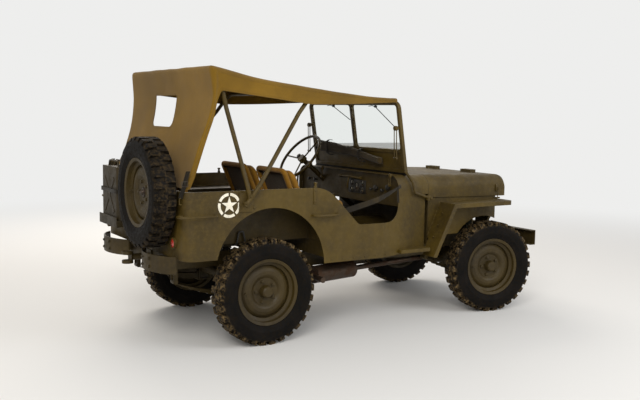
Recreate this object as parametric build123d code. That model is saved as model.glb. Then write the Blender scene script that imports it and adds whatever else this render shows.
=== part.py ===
from build123d import *
from math import atan2, cos, radians, sin
import os

# Army 4x4 car, quarter-ton open utility type, in millimetres.
# +X is forward, +Y is the vehicle's left, +Z is up.
# Everything is drawn about the middle of the wheelbase on the ground and
# written out shifted by SHIFT_X, so that the origin ends at the middle of the length.

# Whole vehicle
WHEELBASE = 2032
TRACK = 1245
FRONT_OVERHANG = 520
SHEET = 3
SEAT_GAP = 0.3
RUNNING_GAP = 6

FRONT_AXLE_X = WHEELBASE / 2
REAR_AXLE_X = -WHEELBASE / 2
NOSE_X = FRONT_AXLE_X + FRONT_OVERHANG
RAIL_REAR = REAR_AXLE_X - 564

# Tyres and wheels, in the wheel's own frame with +Y outboard
TYRE_RADIUS = 355
TYRE_WIDTH = 158
TREAD_WIDTH = 122
BEAD_RADIUS = 205
RIM_LIP_RADIUS = 222
RIM_WIDTH = 132
RIM_SHEET = 4
DISC_FACE = 16
LUG_COUNT = 30
LUG_GROOVE = 30
LUG_DEPTH = 8
LUG_SHOULDER_DEPTH = 30
TREAD_RIB = 8
HUB_RADIUS = 44
HUB_REACH = 58
DRUM_RADIUS = 125
DRUM_WALL = 7
DRUM_DEPTH = 52
SPINDLE_RADIUS = 20
BACKING_RADIUS = 132
BACKING_SHEET = 4
WHEEL_Y = TRACK / 2
WHEEL_Z = TYRE_RADIUS

# Steering
KINGPIN_INSET = 110
REST_STEER = 10.8
ARM_LENGTH = 165
ARM_HEIGHT = 35
ARM_SHEET = 16
BALL_RADIUS = 47
CUP_INNER = 50
CUP_OUTER = 56
TIE_RADIUS = 11
TIE_PIN_RADIUS = 7.5
STEERING_WHEEL_RADIUS = 222
STEERING_WHEEL_AT = (-159, 370, 1178)
COLUMN_DROP = 38.6
COLUMN_FOOT_RISE = 39
COLUMN_RADIUS = 20

# Frame
RAIL_Y = 346
RAIL_WIDTH = 50
RAIL_HEIGHT = 100
RAIL_TOP = 540
RAIL_KICK = 60
RAIL_FRONT = 1483

# Tub
TUB_HALF = 740
TUB_REAR = -1625
TUB_CORNER = 80
TUB_TOP = 1040
SILL_BOTTOM = 525
QUARTER_BOTTOM = 610
TAPER_X = -130
FIREWALL_X = 385
FIREWALL_HALF = 600
ARCH_RADIUS = 400
ARCH_Z = 520
FLOOR_FRONT = 560
FLOOR_REAR = 665
STEP_X = -600
REAR_SEAM_Y = TUB_HALF - 130
WHEEL_HOUSE_Y = 500
WHEEL_HOUSE_TOP = 935
WHEEL_HOUSE_REACH = 412
TUB_FLANGE = 16

# Spare wheel on the rear panel, whose tyre is the rearmost point
SPARE_X = TUB_REAR - 97
SPARE_Y = -335
SPARE_Z = 1012
TAIL_X = SPARE_X - TYRE_WIDTH / 2
SHIFT_X = -(NOSE_X + TAIL_X) / 2

# Door opening, rear corner to front post
DOOR_TOP_X = -605
DOOR_SILL_X = -340
DOOR_SILL = 772
DOOR_POST_X = 30
DOOR_TOP_CURVE = 0.933
DOOR_SILL_CURVE = 0.224
DOOR_POST_CURVE = 0.637

# Cowl and hood
COWL_BOTTOM = 945
COWL_TOP_REAR = 1095
COWL_TOP_FRONT = 1085
COWL_CORNER = 100
HOOD_BOTTOM = 915
HOOD_REAR_HALF = 590
HOOD_FRONT_HALF = 518
HOOD_FRONT_X = 1250
HOOD_FRONT_BOTTOM = 893
HOOD_FRONT_TOP = 1060
HOOD_CORNER = 82
HOOD_LIP = 45
HOOD_RETURN = 22

# Front end
GRILLE_X = 1172
GRILLE_BOTTOM = RAIL_TOP + RAIL_KICK - 10 + SEAT_GAP
GRILLE_HALF = 483
GRILLE_FOOT_HALF = 430
GRILLE_FOOT_TOP = 690
GRILLE_SHOULDER = 762
GRILLE_TOP = 1042
GRILLE_CORNER = 70
GRILLE_FOOT_CORNER = 20
GRILLE_BEND = 28
GRILLE_FLANGE = 24
SLOT_WIDTH = 40
SLOT_HEIGHT = 330
SLOT_PITCH = 64
SLOT_COUNT = 9
SLOT_Z = 790
SLOT_LIP = 9
LAMP_Y = 380
LAMP_Z = 930
LAMP_RADIUS = 88
MARKER_Z = 770
MARKER_RADIUS = 34
TAIL_LAMP_Z = 711
TAIL_LAMP_RADIUS = 36
FENDER_TOP = 875
FENDER_REAR_X = 530
FENDER_FRONT_X = 1140
FENDER_TOE_X = 335
FENDER_TOE_Z = 490
FENDER_LIP = 32
FENDER_CORNER = 60
APRON_CUT = 385
APRON_CUT_BACK = 13
BUMPER_HALF = 600
BUMPER_BOTTOM = 480
BUMPER_TOP = 600

# Windshield, leaning back from its foot
SHIELD_FOOT = (160, 1108)
SHIELD_LEAN = 9.2
SHIELD_HALF = 613
SHIELD_HEIGHT = 524
SHIELD_BAR = 26
GLASS_BOTTOM = 172
GLASS_TOP = 498
SHIELD_PIVOT = (363, 918)

# Canvas top
CANVAS = 4
ROOF_LINE = ((62, 1644), (-197, 1650), (-489, 1670), (-819, 1708), (-1128, 1744), (TUB_REAR + 207, 1786))
FLAP_LINE = ((62, 1618), (-373, 1597), (-709, 1591), (-817, 1602), (TUB_REAR + 249, 1663))
CURTAIN_FOOT = (TUB_REAR + 21, TUB_TOP + 18)
CURTAIN_FOLD = (
    # x, z, half width: the taut rear curtain is hollow between its top and its foot
    (TUB_REAR + 207, 1786, TUB_HALF - 36),
    (TUB_REAR + 214, 1700, TUB_HALF - 16),
    (TUB_REAR + 206, 1600, TUB_HALF - 23),
    (TUB_REAR + 154, 1400, TUB_HALF - 82),
    (TUB_REAR + 108, 1250, TUB_HALF - 98),
    (*CURTAIN_FOOT, TUB_HALF - 40),
)
CANVAS_FRONT_HALF = 612
CANVAS_REAR_HALF = TUB_HALF - 16
CURTAIN_MARGIN = 70


def block(x0, x1, y0, y1, z0, z1):
    """Plain block between two corners."""
    middle = Pos((x0 + x1) / 2, (y0 + y1) / 2, (z0 + z1) / 2)
    return middle * Box(abs(x1 - x0), abs(y1 - y0), abs(z1 - z0))


def outline(points, radii=None):
    """Closed flat face through points, with a radius for each corner."""
    if radii is None:
        return make_face(Polyline(*points, close=True))
    return make_face(FilletPolyline(*points, radius=radii, close=True))


def side_prism(points, y0, y1, radii=None):
    """Profile drawn in X and Z, as thick as y0 to y1."""
    return extrude(Plane.XZ.offset(-y1) * outline(points, radii), amount=y1 - y0)


def cross_prism(points, x0, x1, radii=None):
    """Profile drawn in Y and Z, as long as x0 to x1."""
    return extrude(Plane.YZ.offset(x0) * outline(points, radii), amount=x1 - x0)


def plan_prism(points, z0, z1, radii=None):
    """Profile drawn in X and Y, as tall as z0 to z1."""
    return extrude(Plane.XY.offset(z0) * outline(points, radii), amount=z1 - z0)


def rod(start, end, radius):
    """Round bar from one point to another."""
    run = Vector(*end) - Vector(*start)
    plane = Plane(origin=start, z_dir=run)
    return extrude(plane * Circle(radius), amount=run.length)


def bent_bar(points, radius, bend):
    """Round bar along straight runs joined by bends."""
    path = FilletPolyline(*points, radius=bend)
    plane = Plane(origin=points[0], z_dir=Vector(*points[1]) - Vector(*points[0]))
    return sweep(plane * Circle(radius), path=path)


def mirrored(shape):
    return mirror(shape, about=Plane.XZ)


def turned(points):
    """Solid of revolution about Y from (radius, y) points."""
    return revolve(make_face(Polyline(*points, close=True)), axis=Axis.Y)


def turned_along(points):
    """Solid of revolution about X from (x, radius) points."""
    return revolve(make_face(Polyline(*points, close=True)), axis=Axis.X)


def between(table, x):
    """Height at x on a line of (x, z) points."""
    rows = sorted(table)
    for (xa, za), (xb, zb) in zip(rows, rows[1:]):
        if xa <= x <= xb:
            return za + (zb - za) * (x - xa) / (xb - xa)
    return rows[0][1] if x < rows[0][0] else rows[-1][1]


def write(name, *solids):
    """Write one node, shifted to the part's origin."""
    moved = [solid.moved(Pos(SHIFT_X, 0, 0)) for solid in solids]
    shape = moved[0] if len(moved) == 1 else Compound(children=moved)
    export_step(shape, f"parts/{name}.step")


def side_half(x):
    """Half width of the tub at x, straight and then tapering to the firewall."""
    if x <= TAPER_X:
        return TUB_HALF
    share = (x - TAPER_X) / (FIREWALL_X - TAPER_X)
    return TUB_HALF + (FIREWALL_HALF - TUB_HALF) * share


# Wheels and tyres

def make_tyre():
    """Carcass with two staggered rows of lugs, left between grooves that open at the shoulders."""
    half = TYRE_WIDTH / 2
    tread = TREAD_WIDTH / 2
    right = (
        (BEAD_RADIUS + 1, RIM_WIDTH / 2 - 11),
        (RIM_LIP_RADIUS + 1, RIM_WIDTH / 2 - 6),
        (RIM_LIP_RADIUS + 4, RIM_WIDTH / 2),
        (TYRE_RADIUS - 90, half),
        (TYRE_RADIUS - 45, half - 1),
        (TYRE_RADIUS - 16, half - 8),
        (TYRE_RADIUS, tread),
    )
    left = [(radius, -y) for radius, y in reversed(right)]
    carcass = turned(list(right) + left)
    groove = cross_prism(
        ((TREAD_RIB, TYRE_RADIUS - LUG_DEPTH), (half + 2, TYRE_RADIUS - LUG_SHOULDER_DEPTH),
         (half + 2, TYRE_RADIUS + 5), (TREAD_RIB, TYRE_RADIUS + 5)),
        -LUG_GROOVE / 2, LUG_GROOVE / 2,
    )
    pitch = 360 / LUG_COUNT
    grooves = []
    for index in range(LUG_COUNT):
        grooves.append(Rot(0, index * pitch, 0) * groove)
        grooves.append(Rot(0, (index + 0.5) * pitch, 0) * mirrored(groove))
    return carcass - grooves


def make_rim():
    edge = RIM_WIDTH / 2
    well = BEAD_RADIUS - 23
    outer = (
        (RIM_LIP_RADIUS, edge - RIM_SHEET),
        (BEAD_RADIUS, edge - 9),
        (BEAD_RADIUS - 2, 30),
        (well, 22),
    )
    inner = [(radius - RIM_SHEET, y + RIM_SHEET) for radius, y in outer]
    inner[0] = (RIM_LIP_RADIUS, edge)
    loop = list(outer) + [(r, -y) for r, y in reversed(outer)]
    loop += [(r, -y) for r, y in inner]
    loop += list(reversed(inner))
    band = turned(loop)
    face = DISC_FACE
    back = DISC_FACE - RIM_SHEET
    disc = turned((
        (well - 2, 4), (173, 14), (157, 26), (137, 33), (116, 33), (103, 27), (90, face), (34, face),
        (34, back), (88, back), (101, 23), (114, 29), (137, 29), (155, 22), (170, 10), (well - 2, 0),
    ))
    return band + disc


def make_hub():
    """Hub and brake drum that turn with the wheel."""
    drum_inner = DISC_FACE - RIM_SHEET - 4
    drum = turned((
        (SPINDLE_RADIUS + 2, drum_inner), (DRUM_RADIUS, drum_inner),
        (DRUM_RADIUS, drum_inner - DRUM_DEPTH),
        (DRUM_RADIUS - DRUM_WALL, drum_inner - DRUM_DEPTH),
        (DRUM_RADIUS - DRUM_WALL, drum_inner - DRUM_WALL),
        (SPINDLE_RADIUS + 2, drum_inner - DRUM_WALL),
    ))
    bore = SPINDLE_RADIUS + SEAT_GAP
    hub = turned((
        (bore, -20), (HUB_RADIUS, -20), (HUB_RADIUS, 30), (HUB_RADIUS - 6, HUB_REACH),
        (HUB_RADIUS - 14, HUB_REACH + 8), (0, HUB_REACH + 8), (0, 22), (bore, 22),
    ))
    return drum + hub


def placed_wheel(shape, side, axle_x):
    """A wheel piece at its corner; front ones follow the steering at rest."""
    facing = Rot(0, 0, 0) if side > 0 else Rot(0, 0, 180)
    if axle_x == REAR_AXLE_X:
        return Pos(axle_x, side * WHEEL_Y, WHEEL_Z) * facing * shape
    kingpin = Pos(axle_x, side * (WHEEL_Y - KINGPIN_INSET), WHEEL_Z)
    return kingpin * Rot(0, 0, -REST_STEER) * Pos(0, side * KINGPIN_INSET, 0) * facing * shape


TYRE = make_tyre()
SPARE_WHEEL = make_rim()
RIM = SPARE_WHEEL + make_hub()
CORNERS = (
    # name, side, axle
    ("front_left", 1, FRONT_AXLE_X),
    ("front_right", -1, FRONT_AXLE_X),
    ("rear_left", 1, REAR_AXLE_X),
    ("rear_right", -1, REAR_AXLE_X),
)


def write_wheels():
    for name, side, axle_x in CORNERS:
        write(f"tyre_{name}", placed_wheel(TYRE, side, axle_x))
        write(f"rim_{name}", placed_wheel(RIM, side, axle_x))


# Knuckles and tie rod, drawn about the kingpin with +Y outboard

BACKING_Y = KINGPIN_INSET - DRUM_DEPTH + DISC_FACE - 2 * RIM_SHEET - RUNNING_GAP - BACKING_SHEET


def spindle_and_plate(inset):
    """Backing plate and spindle of a wheel whose plane is at y = inset."""
    plate_y = inset - KINGPIN_INSET + BACKING_Y
    plate = turned((
        (0, plate_y), (BACKING_RADIUS, plate_y),
        (BACKING_RADIUS, plate_y + BACKING_SHEET), (0, plate_y + BACKING_SHEET),
    ))
    spindle = turned((
        (0, plate_y), (SPINDLE_RADIUS + 8, plate_y), (SPINDLE_RADIUS + 8, inset - 26),
        (SPINDLE_RADIUS, inset - 26), (SPINDLE_RADIUS, inset + 16), (0, inset + 16),
    ))
    return plate + spindle


def make_knuckle():
    cup = Sphere(CUP_OUTER) - Sphere(CUP_INNER)
    cup -= block(-80, 80, -80, -8, -80, 80)
    neck = rod((0, CUP_INNER + 1, 0), (0, BACKING_Y + 1, 0), 34)
    body = cup + neck + spindle_and_plate(KINGPIN_INSET)
    for sign in (1, -1):
        body += rod((0, 0, sign * (BALL_RADIUS + SEAT_GAP)), (0, 0, sign * (CUP_OUTER + 10)), 14)
        body += rod((0, 0, sign * CUP_INNER + sign * 3), (0, 0, sign * (CUP_OUTER + 6)), 24)
    low = ARM_HEIGHT - ARM_SHEET / 2
    arm = block(40, ARM_LENGTH, -13, 13, low, low + ARM_SHEET)
    arm += rod((ARM_LENGTH, 0, low), (ARM_LENGTH, 0, low + ARM_SHEET), 18)
    arm -= rod((ARM_LENGTH, 0, low - 1), (ARM_LENGTH, 0, low + ARM_SHEET + 1), TIE_PIN_RADIUS + SEAT_GAP)
    arm -= Sphere(CUP_INNER + 1)
    return body + arm


def make_tie_rod():
    """Drawn from the right eye at the origin to the left eye along +Y."""
    span = TRACK - 2 * KINGPIN_INSET
    eye_low = ARM_SHEET / 2 + SEAT_GAP
    eye_height = 2 * TIE_RADIUS + 6
    middle = eye_low + eye_height / 2
    bar = rod((0, 0, middle), (0, span, middle), TIE_RADIUS)
    for y in (0, span):
        bar += rod((0, y, eye_low), (0, y, eye_low + eye_height), 18)
        bar += rod((0, y, -ARM_SHEET / 2), (0, y, eye_low + 2), TIE_PIN_RADIUS)
    return bar


def write_steering_parts():
    knuckle = make_knuckle()
    kingpin_y = WHEEL_Y - KINGPIN_INSET
    turn = Rot(0, 0, -REST_STEER)
    write("knuckle_left", Pos(FRONT_AXLE_X, kingpin_y, WHEEL_Z) * turn * knuckle)
    write("knuckle_right", Pos(FRONT_AXLE_X, -kingpin_y, WHEEL_Z) * turn * mirrored(knuckle))
    eye_x = FRONT_AXLE_X + ARM_LENGTH * cos(radians(REST_STEER))
    eye_y = -kingpin_y - ARM_LENGTH * sin(radians(REST_STEER))
    write("tie_rod", Pos(eye_x, eye_y, WHEEL_Z + ARM_HEIGHT) * make_tie_rod())


# Axles, springs and dampers

DIFF_Y = -150
DIFF_RADIUS = 112
TUBE_RADIUS = 33
SPRING_WIDTH = 44
LEAF = 6
LEAF_COUNT = 7
SPRING_SADDLE = 5


def make_front_axle():
    inner = WHEEL_Y - KINGPIN_INSET
    axle = rod((0, -inner, 0), (0, inner, 0), TUBE_RADIUS)
    for side in (1, -1):
        axle += Pos(0, side * inner, 0) * Sphere(BALL_RADIUS)
    axle += make_diff(1)
    return axle.moved(Pos(FRONT_AXLE_X, 0, WHEEL_Z))


def make_diff(nose):
    """Round housing with its cover on one side and the pinion nose on the other."""
    wide = DIFF_RADIUS
    profile = (
        (-wide - 50, 0), (-wide - 50, 38), (-wide, 44), (-0.7 * wide, 0.68 * wide), (-0.36 * wide, 0.93 * wide),
        (0, wide), (0.36 * wide, 0.93 * wide), (0.5 * wide, 0.86 * wide), (0.5 * wide, 0.96 * wide),
        (0.6 * wide, 0.96 * wide), (0.84 * wide, 0.7 * wide), (0.95 * wide, 0.3 * wide), (0.95 * wide, 0),
    )
    return turned_along([(nose * x, radius) for x, radius in profile]).moved(Pos(0, DIFF_Y, 0))


def make_rear_axle():
    end = WHEEL_Y - KINGPIN_INSET + BACKING_Y + 1
    axle = rod((0, -end, 0), (0, end, 0), TUBE_RADIUS)
    stub = spindle_and_plate(WHEEL_Y)
    axle += stub + mirrored(stub) + make_diff(-1)
    return axle.moved(Pos(REAR_AXLE_X, 0, WHEEL_Z))


def make_spring(length, sag):
    """Leaf pack hanging under the axle, eyes up, drawn about the axle's centre."""
    half = length / 2
    radius = (half * half + sag * sag) / (2 * sag)
    top = -TUBE_RADIUS - SPRING_SADDLE
    centre_z = top + radius
    pack = None
    for index in range(LEAF_COUNT):
        reach = half * (1 - 0.115 * index)
        inside = radius + index * LEAF
        angle = reach / radius
        ring = Circle(inside + LEAF) - Circle(inside)
        wedge = outline((
            (0, 0), (2 * radius * sin(angle), -2 * radius * cos(angle)), (0, -3 * radius),
            (-2 * radius * sin(angle), -2 * radius * cos(angle)),
        ))
        leaf = extrude(Plane.XZ.offset(-SPRING_WIDTH / 2) * (ring & wedge), amount=SPRING_WIDTH)
        pack = leaf if pack is None else pack + leaf
    pack = Pos(0, 0, centre_z) * pack
    eye_z = centre_z - radius * cos(half / radius)
    eye_x = radius * sin(half / radius)
    for sign in (1, -1):
        pack += rod((sign * eye_x, -SPRING_WIDTH / 2, eye_z + 8), (sign * eye_x, SPRING_WIDTH / 2, eye_z + 8), 17)
    saddle = block(-55, 55, -SPRING_WIDTH / 2, SPRING_WIDTH / 2, top, -TUBE_RADIUS + 12)
    saddle -= rod((0, -60, 0), (0, 60, 0), TUBE_RADIUS + SEAT_GAP)
    plate_top = top - LEAF * LEAF_COUNT
    plate = block(-60, 60, -SPRING_WIDTH / 2 - 12, SPRING_WIDTH / 2 + 12, plate_top - 10, plate_top)
    for sign in (1, -1):
        for edge in (1, -1):
            x = sign * (TUBE_RADIUS + 9)
            y = edge * (SPRING_WIDTH / 2 + 6.5)
            plate += rod((x, y, plate_top - 1), (x, y, 0), 5)
    for edge in (1, -1):
        y = edge * (SPRING_WIDTH / 2 + 6.5)
        arch = bent_bar(
            ((-TUBE_RADIUS - 9, y, -1), (-TUBE_RADIUS - 9, y, TUBE_RADIUS + 9),
             (TUBE_RADIUS + 9, y, TUBE_RADIUS + 9), (TUBE_RADIUS + 9, y, -1)),
            5, TUBE_RADIUS + 8,
        )
        plate += arch
    return pack + saddle, plate, eye_x, eye_z + 8


def rail_bottom(x):
    return between(RAIL_UNDERSIDE, x)


RAIL_UNDERSIDE = (
    (RAIL_REAR, RAIL_TOP + RAIL_KICK - RAIL_HEIGHT),
    (-760, RAIL_TOP + RAIL_KICK - RAIL_HEIGHT),
    (-560, RAIL_TOP - RAIL_HEIGHT),
    (600, RAIL_TOP - RAIL_HEIGHT),
    (760, RAIL_TOP + RAIL_KICK - 10 - RAIL_HEIGHT),
    (1300, RAIL_TOP + RAIL_KICK - 10 - RAIL_HEIGHT),
    (RAIL_FRONT, RAIL_TOP + 40 - RAIL_HEIGHT),
)
SPRINGS = (
    # axle, length, sag
    (FRONT_AXLE_X, 920, 95),
    (REAR_AXLE_X, 1060, 95),
)


def make_suspension():
    solids = []
    for axle_x, length, sag in SPRINGS:
        pack, plate, eye_x, eye_z = make_spring(length, sag)
        for side in (1, -1):
            place = Pos(axle_x, side * RAIL_Y, WHEEL_Z)
            solids += [place * pack, place * plate]
            for sign in (1, -1):
                x = axle_x + sign * eye_x
                foot = min(rail_bottom(x - 14), rail_bottom(x + 14))
                for edge in (1, -1):
                    y = side * RAIL_Y + edge * (SPRING_WIDTH / 2 + 3 + SEAT_GAP)
                    low = WHEEL_Z + eye_z
                    link = block(x - 14, x + 14, y - 3, y + 3, low, foot - SEAT_GAP)
                    link += rod((x, y - 3, low), (x, y + 3, low), 16)
                    solids.append(link)
    for axle_x in (FRONT_AXLE_X, REAR_AXLE_X):
        lean = -1 if axle_x > 0 else 1
        for side in (1, -1):
            y = side * (RAIL_Y - RAIL_WIDTH / 2 - 24)
            low = (axle_x + lean * 70, y, WHEEL_Z - 52)
            high = (axle_x + lean * 130, y, rail_bottom(axle_x) + 40)
            body = rod(low, high, 17)
            body += rod((low[0], y - side * 3, low[2]), (low[0], side * RAIL_Y - side * 30, low[2]), 8)
            body += rod(high, (high[0], side * (RAIL_Y - RAIL_WIDTH / 2 - SEAT_GAP), high[2]), 12)
            solids.append(body)
    return solids


# Frame, bumpers, engine and drive

CROSS_MEMBERS = (
    # x, length along X, height, rise above the rail's underside
    (RAIL_REAR + 25, 46, 92, 4),
    (-740, 60, 70, 15),
    (-30, 90, 40, -35),
    (1130, 70, 80, 10),
    (1440, 60, 80, 10),
)


def make_frame():
    top = [(x, z + RAIL_HEIGHT) for x, z in reversed(RAIL_UNDERSIDE)]
    rail = side_prism(list(RAIL_UNDERSIDE) + top, RAIL_Y - RAIL_WIDTH / 2, RAIL_Y + RAIL_WIDTH / 2)
    frame = rail + mirrored(rail)
    inner = RAIL_Y - RAIL_WIDTH / 2 + 2
    for x, length, height, rise in CROSS_MEMBERS:
        low = rail_bottom(x) + rise
        frame += block(x - length / 2, x + length / 2, -inner, inner, low, low + height)
    return frame


def make_front_bumper():
    depth = NOSE_X - RAIL_FRONT
    wall = 6
    section = (
        (NOSE_X, BUMPER_BOTTOM), (NOSE_X, BUMPER_TOP), (NOSE_X - depth, BUMPER_TOP),
        (NOSE_X - depth, BUMPER_TOP - wall), (NOSE_X - wall, BUMPER_TOP - wall),
        (NOSE_X - wall, BUMPER_BOTTOM + wall), (NOSE_X - depth, BUMPER_BOTTOM + wall),
        (NOSE_X - depth, BUMPER_BOTTOM),
    )
    bar = side_prism(section, -BUMPER_HALF, BUMPER_HALF)
    horns = []
    for side in (1, -1):
        y = side * RAIL_Y
        horn = block(RAIL_FRONT + SEAT_GAP, NOSE_X - wall, y - 24, y + 24, BUMPER_BOTTOM + wall, BUMPER_TOP - wall)
        horns.append(horn)
    return bar + horns[0] + horns[1]


REAR_BUMPER_REACH = 170
REAR_BUMPER_SWING = 360
REAR_BUMPER_SHEET = 8
REAR_BUMPER_BOTTOM = 522
REAR_BUMPER_TOP = 632
REAR_BUMPER_Y = 390
REAR_BUMPER_ENDS = (160, 640)
HOOK_Z = 540


def make_rear_bumpers():
    """Two short bumpers curved in plan on arms from the rails, and a towing hook between them."""
    swing = REAR_BUMPER_SWING
    inner, outer = REAR_BUMPER_ENDS
    height = REAR_BUMPER_TOP - REAR_BUMPER_BOTTOM
    face = RAIL_REAR - REAR_BUMPER_REACH
    arm_low = REAR_BUMPER_BOTTOM + 6
    arm_high = RAIL_TOP + RAIL_KICK - 8
    centre = Pos(face + swing, REAR_BUMPER_Y, REAR_BUMPER_BOTTOM)
    ring = centre * extrude(Circle(swing) - Circle(swing - REAR_BUMPER_SHEET), amount=height)
    bar = ring & block(face - 1, face + swing, inner, outer, REAR_BUMPER_BOTTOM, REAR_BUMPER_TOP)
    arm = block(face, RAIL_REAR - SEAT_GAP, RAIL_Y - 20, RAIL_Y + 20, arm_low, arm_high)
    gusset = plan_prism(
        ((RAIL_REAR - SEAT_GAP, RAIL_Y - 20), (face + 30, RAIL_Y - 110), (face + 30, RAIL_Y + 110),
         (RAIL_REAR - SEAT_GAP, RAIL_Y + 20)),
        arm_high - 5, arm_high,
    )
    arm += gusset
    arm -= centre * extrude(Circle(3 * swing) - Circle(swing - REAR_BUMPER_SHEET / 2), amount=height)
    solid = bar + arm
    plate = block(RAIL_REAR - 12, RAIL_REAR - SEAT_GAP, -70, 70, HOOK_Z - 50, HOOK_Z + 50)
    shank = rod((RAIL_REAR - 10, 0, HOOK_Z), (RAIL_REAR - 120, 0, HOOK_Z), 22)
    jaw = rod((RAIL_REAR - 150, 0, HOOK_Z - 40), (RAIL_REAR - 150, 0, HOOK_Z + 40), 38)
    jaw -= block(RAIL_REAR - 200, RAIL_REAR - 135, -60, 60, HOOK_Z - 20, HOOK_Z + 20)
    return [solid, mirrored(solid), plate + shank + jaw]


def make_engine():
    block_body = block(450, 1020, -190, 190, 490, 850)
    sump = block(500, 900, -130, 130, 430, 492)
    bell = rod((452, 0, BELL_Z), (BELL_REAR, 0, BELL_Z), BELL_RADIUS)
    fan = rod((1019, 0, 700), (1060, 0, 700), 30)
    engine = block_body + sump + bell + fan
    for side in (1, -1):
        engine += block(790, 840, side * 189, side * (RAIL_Y - RAIL_WIDTH / 2 - SEAT_GAP), 505, 545)
    return engine


def make_radiator():
    foot = rail_bottom(1130) + 90 + SEAT_GAP
    core = block(1085, 1140, -255, 255, foot + 10, 1000)
    feet = block(1100, 1130, -200, 200, foot, foot + 12)
    return core + feet


BELL_Z = 580
BELL_RADIUS = 128
BELL_REAR = 350
TUNNEL_RADIUS = 158
TUNNEL_REAR = 70
TRANSFER_FRONT = 100
TRANSFER_REAR = -120


def drive_shaft(start, end, radius):
    """Propeller shaft with a round yoke at each end."""
    sign = 1 if end[0] > start[0] else -1
    shaft = rod((start[0] + sign * 22, start[1], start[2]), (end[0] - sign * 22, end[1], end[2]), radius)
    for x, y, z in (start, end):
        inward = sign if x == start[0] else -sign
        shaft += rod((x + inward * SEAT_GAP, y, z), (x + inward * 34, y, z), radius + 12)
    return shaft


def make_drive_train():
    box = rod((BELL_REAR - SEAT_GAP, 0, BELL_Z), (TRANSFER_FRONT - 20, 0, BELL_Z), 88)
    box += rod((TRANSFER_FRONT, 0, 530), (TRANSFER_FRONT - 24, 0, 530), 70)
    foot = rail_bottom(-30) + 5 + SEAT_GAP
    transfer = block(TRANSFER_REAR, TRANSFER_FRONT, -245, 60, foot, 545)
    rear_pinion = (REAR_AXLE_X + DIFF_RADIUS + 50, DIFF_Y, WHEEL_Z)
    front_pinion = (FRONT_AXLE_X - DIFF_RADIUS - 50, DIFF_Y, WHEEL_Z)
    rear = drive_shaft((TRANSFER_REAR, DIFF_Y, 490), rear_pinion, 26)
    front = drive_shaft((TRANSFER_FRONT, DIFF_Y, 485), front_pinion, 24)
    return [box + transfer, rear, front]


def make_exhaust():
    pipe = bent_bar(
        ((700, -190 - SEAT_GAP, 640), (700, -262, 640), (640, -278, 400), (240, -290, 385), (-200, -430, 400)),
        19, [24, 60, 60],
    )
    muffler = rod((-180, -425, 400), (-560, -500, 400), 62)
    tail = bent_bar(((-558, -500, 400), (-590, -520, 400), (-600, -700, 400)), 19, 24)
    hanger = block(-312, -288, -452, -(RAIL_Y + RAIL_WIDTH / 2 + SEAT_GAP), 454, 462)
    return pipe + muffler + tail + hanger


# Tub

def tub_outline(inset):
    """Plan of the tub, drawn inset by so much from its outside."""
    slope = atan2(TUB_HALF - FIREWALL_HALF, FIREWALL_X - TAPER_X)
    bend = inset * sin(slope / 2) / cos(slope / 2)
    half = TUB_HALF - inset
    front = FIREWALL_HALF - inset / cos(slope)
    points = (
        (TUB_REAR + inset, -half), (TAPER_X - bend, -half), (FIREWALL_X, -front),
        (FIREWALL_X, front), (TAPER_X - bend, half), (TUB_REAR + inset, half),
    )
    corner = TUB_CORNER - inset
    return outline(points, [corner, 0, 0, 0, 0, corner])


def make_side_panel():
    ring = extrude(tub_outline(0) - tub_outline(SHEET), amount=TUB_TOP + 10)
    profile = (
        (TUB_REAR - 5, QUARTER_BOTTOM), (TUB_REAR - 5, TUB_TOP), (DOOR_TOP_X, TUB_TOP),
        (DOOR_SILL_X, DOOR_SILL), (DOOR_POST_X, DOOR_SILL), (DOOR_POST_X, COWL_BOTTOM - SEAT_GAP),
        (FIREWALL_X - SHEET, COWL_BOTTOM - SEAT_GAP), (FIREWALL_X - SHEET, SILL_BOTTOM),
        (REAR_AXLE_X - 4, SILL_BOTTOM), (REAR_AXLE_X - 4, QUARTER_BOTTOM),
    )
    drop = TUB_TOP - DOOR_SILL
    rise = COWL_BOTTOM - SEAT_GAP - DOOR_SILL
    radii = [0, 0, DOOR_TOP_CURVE * drop, DOOR_SILL_CURVE * drop, DOOR_POST_CURVE * rise, 0, 0, 0, 0, 0]
    sheet = ring & side_prism(profile, -TUB_HALF - 5, -REAR_SEAM_Y - SEAT_GAP, radii)
    arch_x = REAR_AXLE_X - 4
    out_y = -TUB_HALF - 60
    in_y = -REAR_SEAM_Y + 10
    arch = rod((arch_x, out_y, ARCH_Z), (arch_x, in_y, ARCH_Z), ARCH_RADIUS)
    arch += block(arch_x - ARCH_RADIUS, arch_x + ARCH_RADIUS, out_y, in_y, ARCH_Z - 100, ARCH_Z)
    return sheet - arch + tub_flange(DOOR_TOP_X - 190, -TUB_HALF - 5, -REAR_SEAM_Y - SEAT_GAP)


def tub_flange(front_x, y0, y1):
    """Turned-in top edge of the tub, from its rear to front_x and from y0 to y1."""
    edge = Plane.XY.offset(TUB_TOP - SHEET) * (tub_outline(0) - tub_outline(TUB_FLANGE))
    return extrude(edge, amount=SHEET) & block(TUB_REAR - 5, front_x, y0, y1, TUB_TOP - 10, TUB_TOP + 10)


def make_rear_panel():
    panel = block(TUB_REAR, TUB_REAR + SHEET, -REAR_SEAM_Y, REAR_SEAM_Y, QUARTER_BOTTOM, TUB_TOP)
    return panel + tub_flange(TUB_REAR + 2 * TUB_CORNER, -REAR_SEAM_Y, REAR_SEAM_Y)


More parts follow.
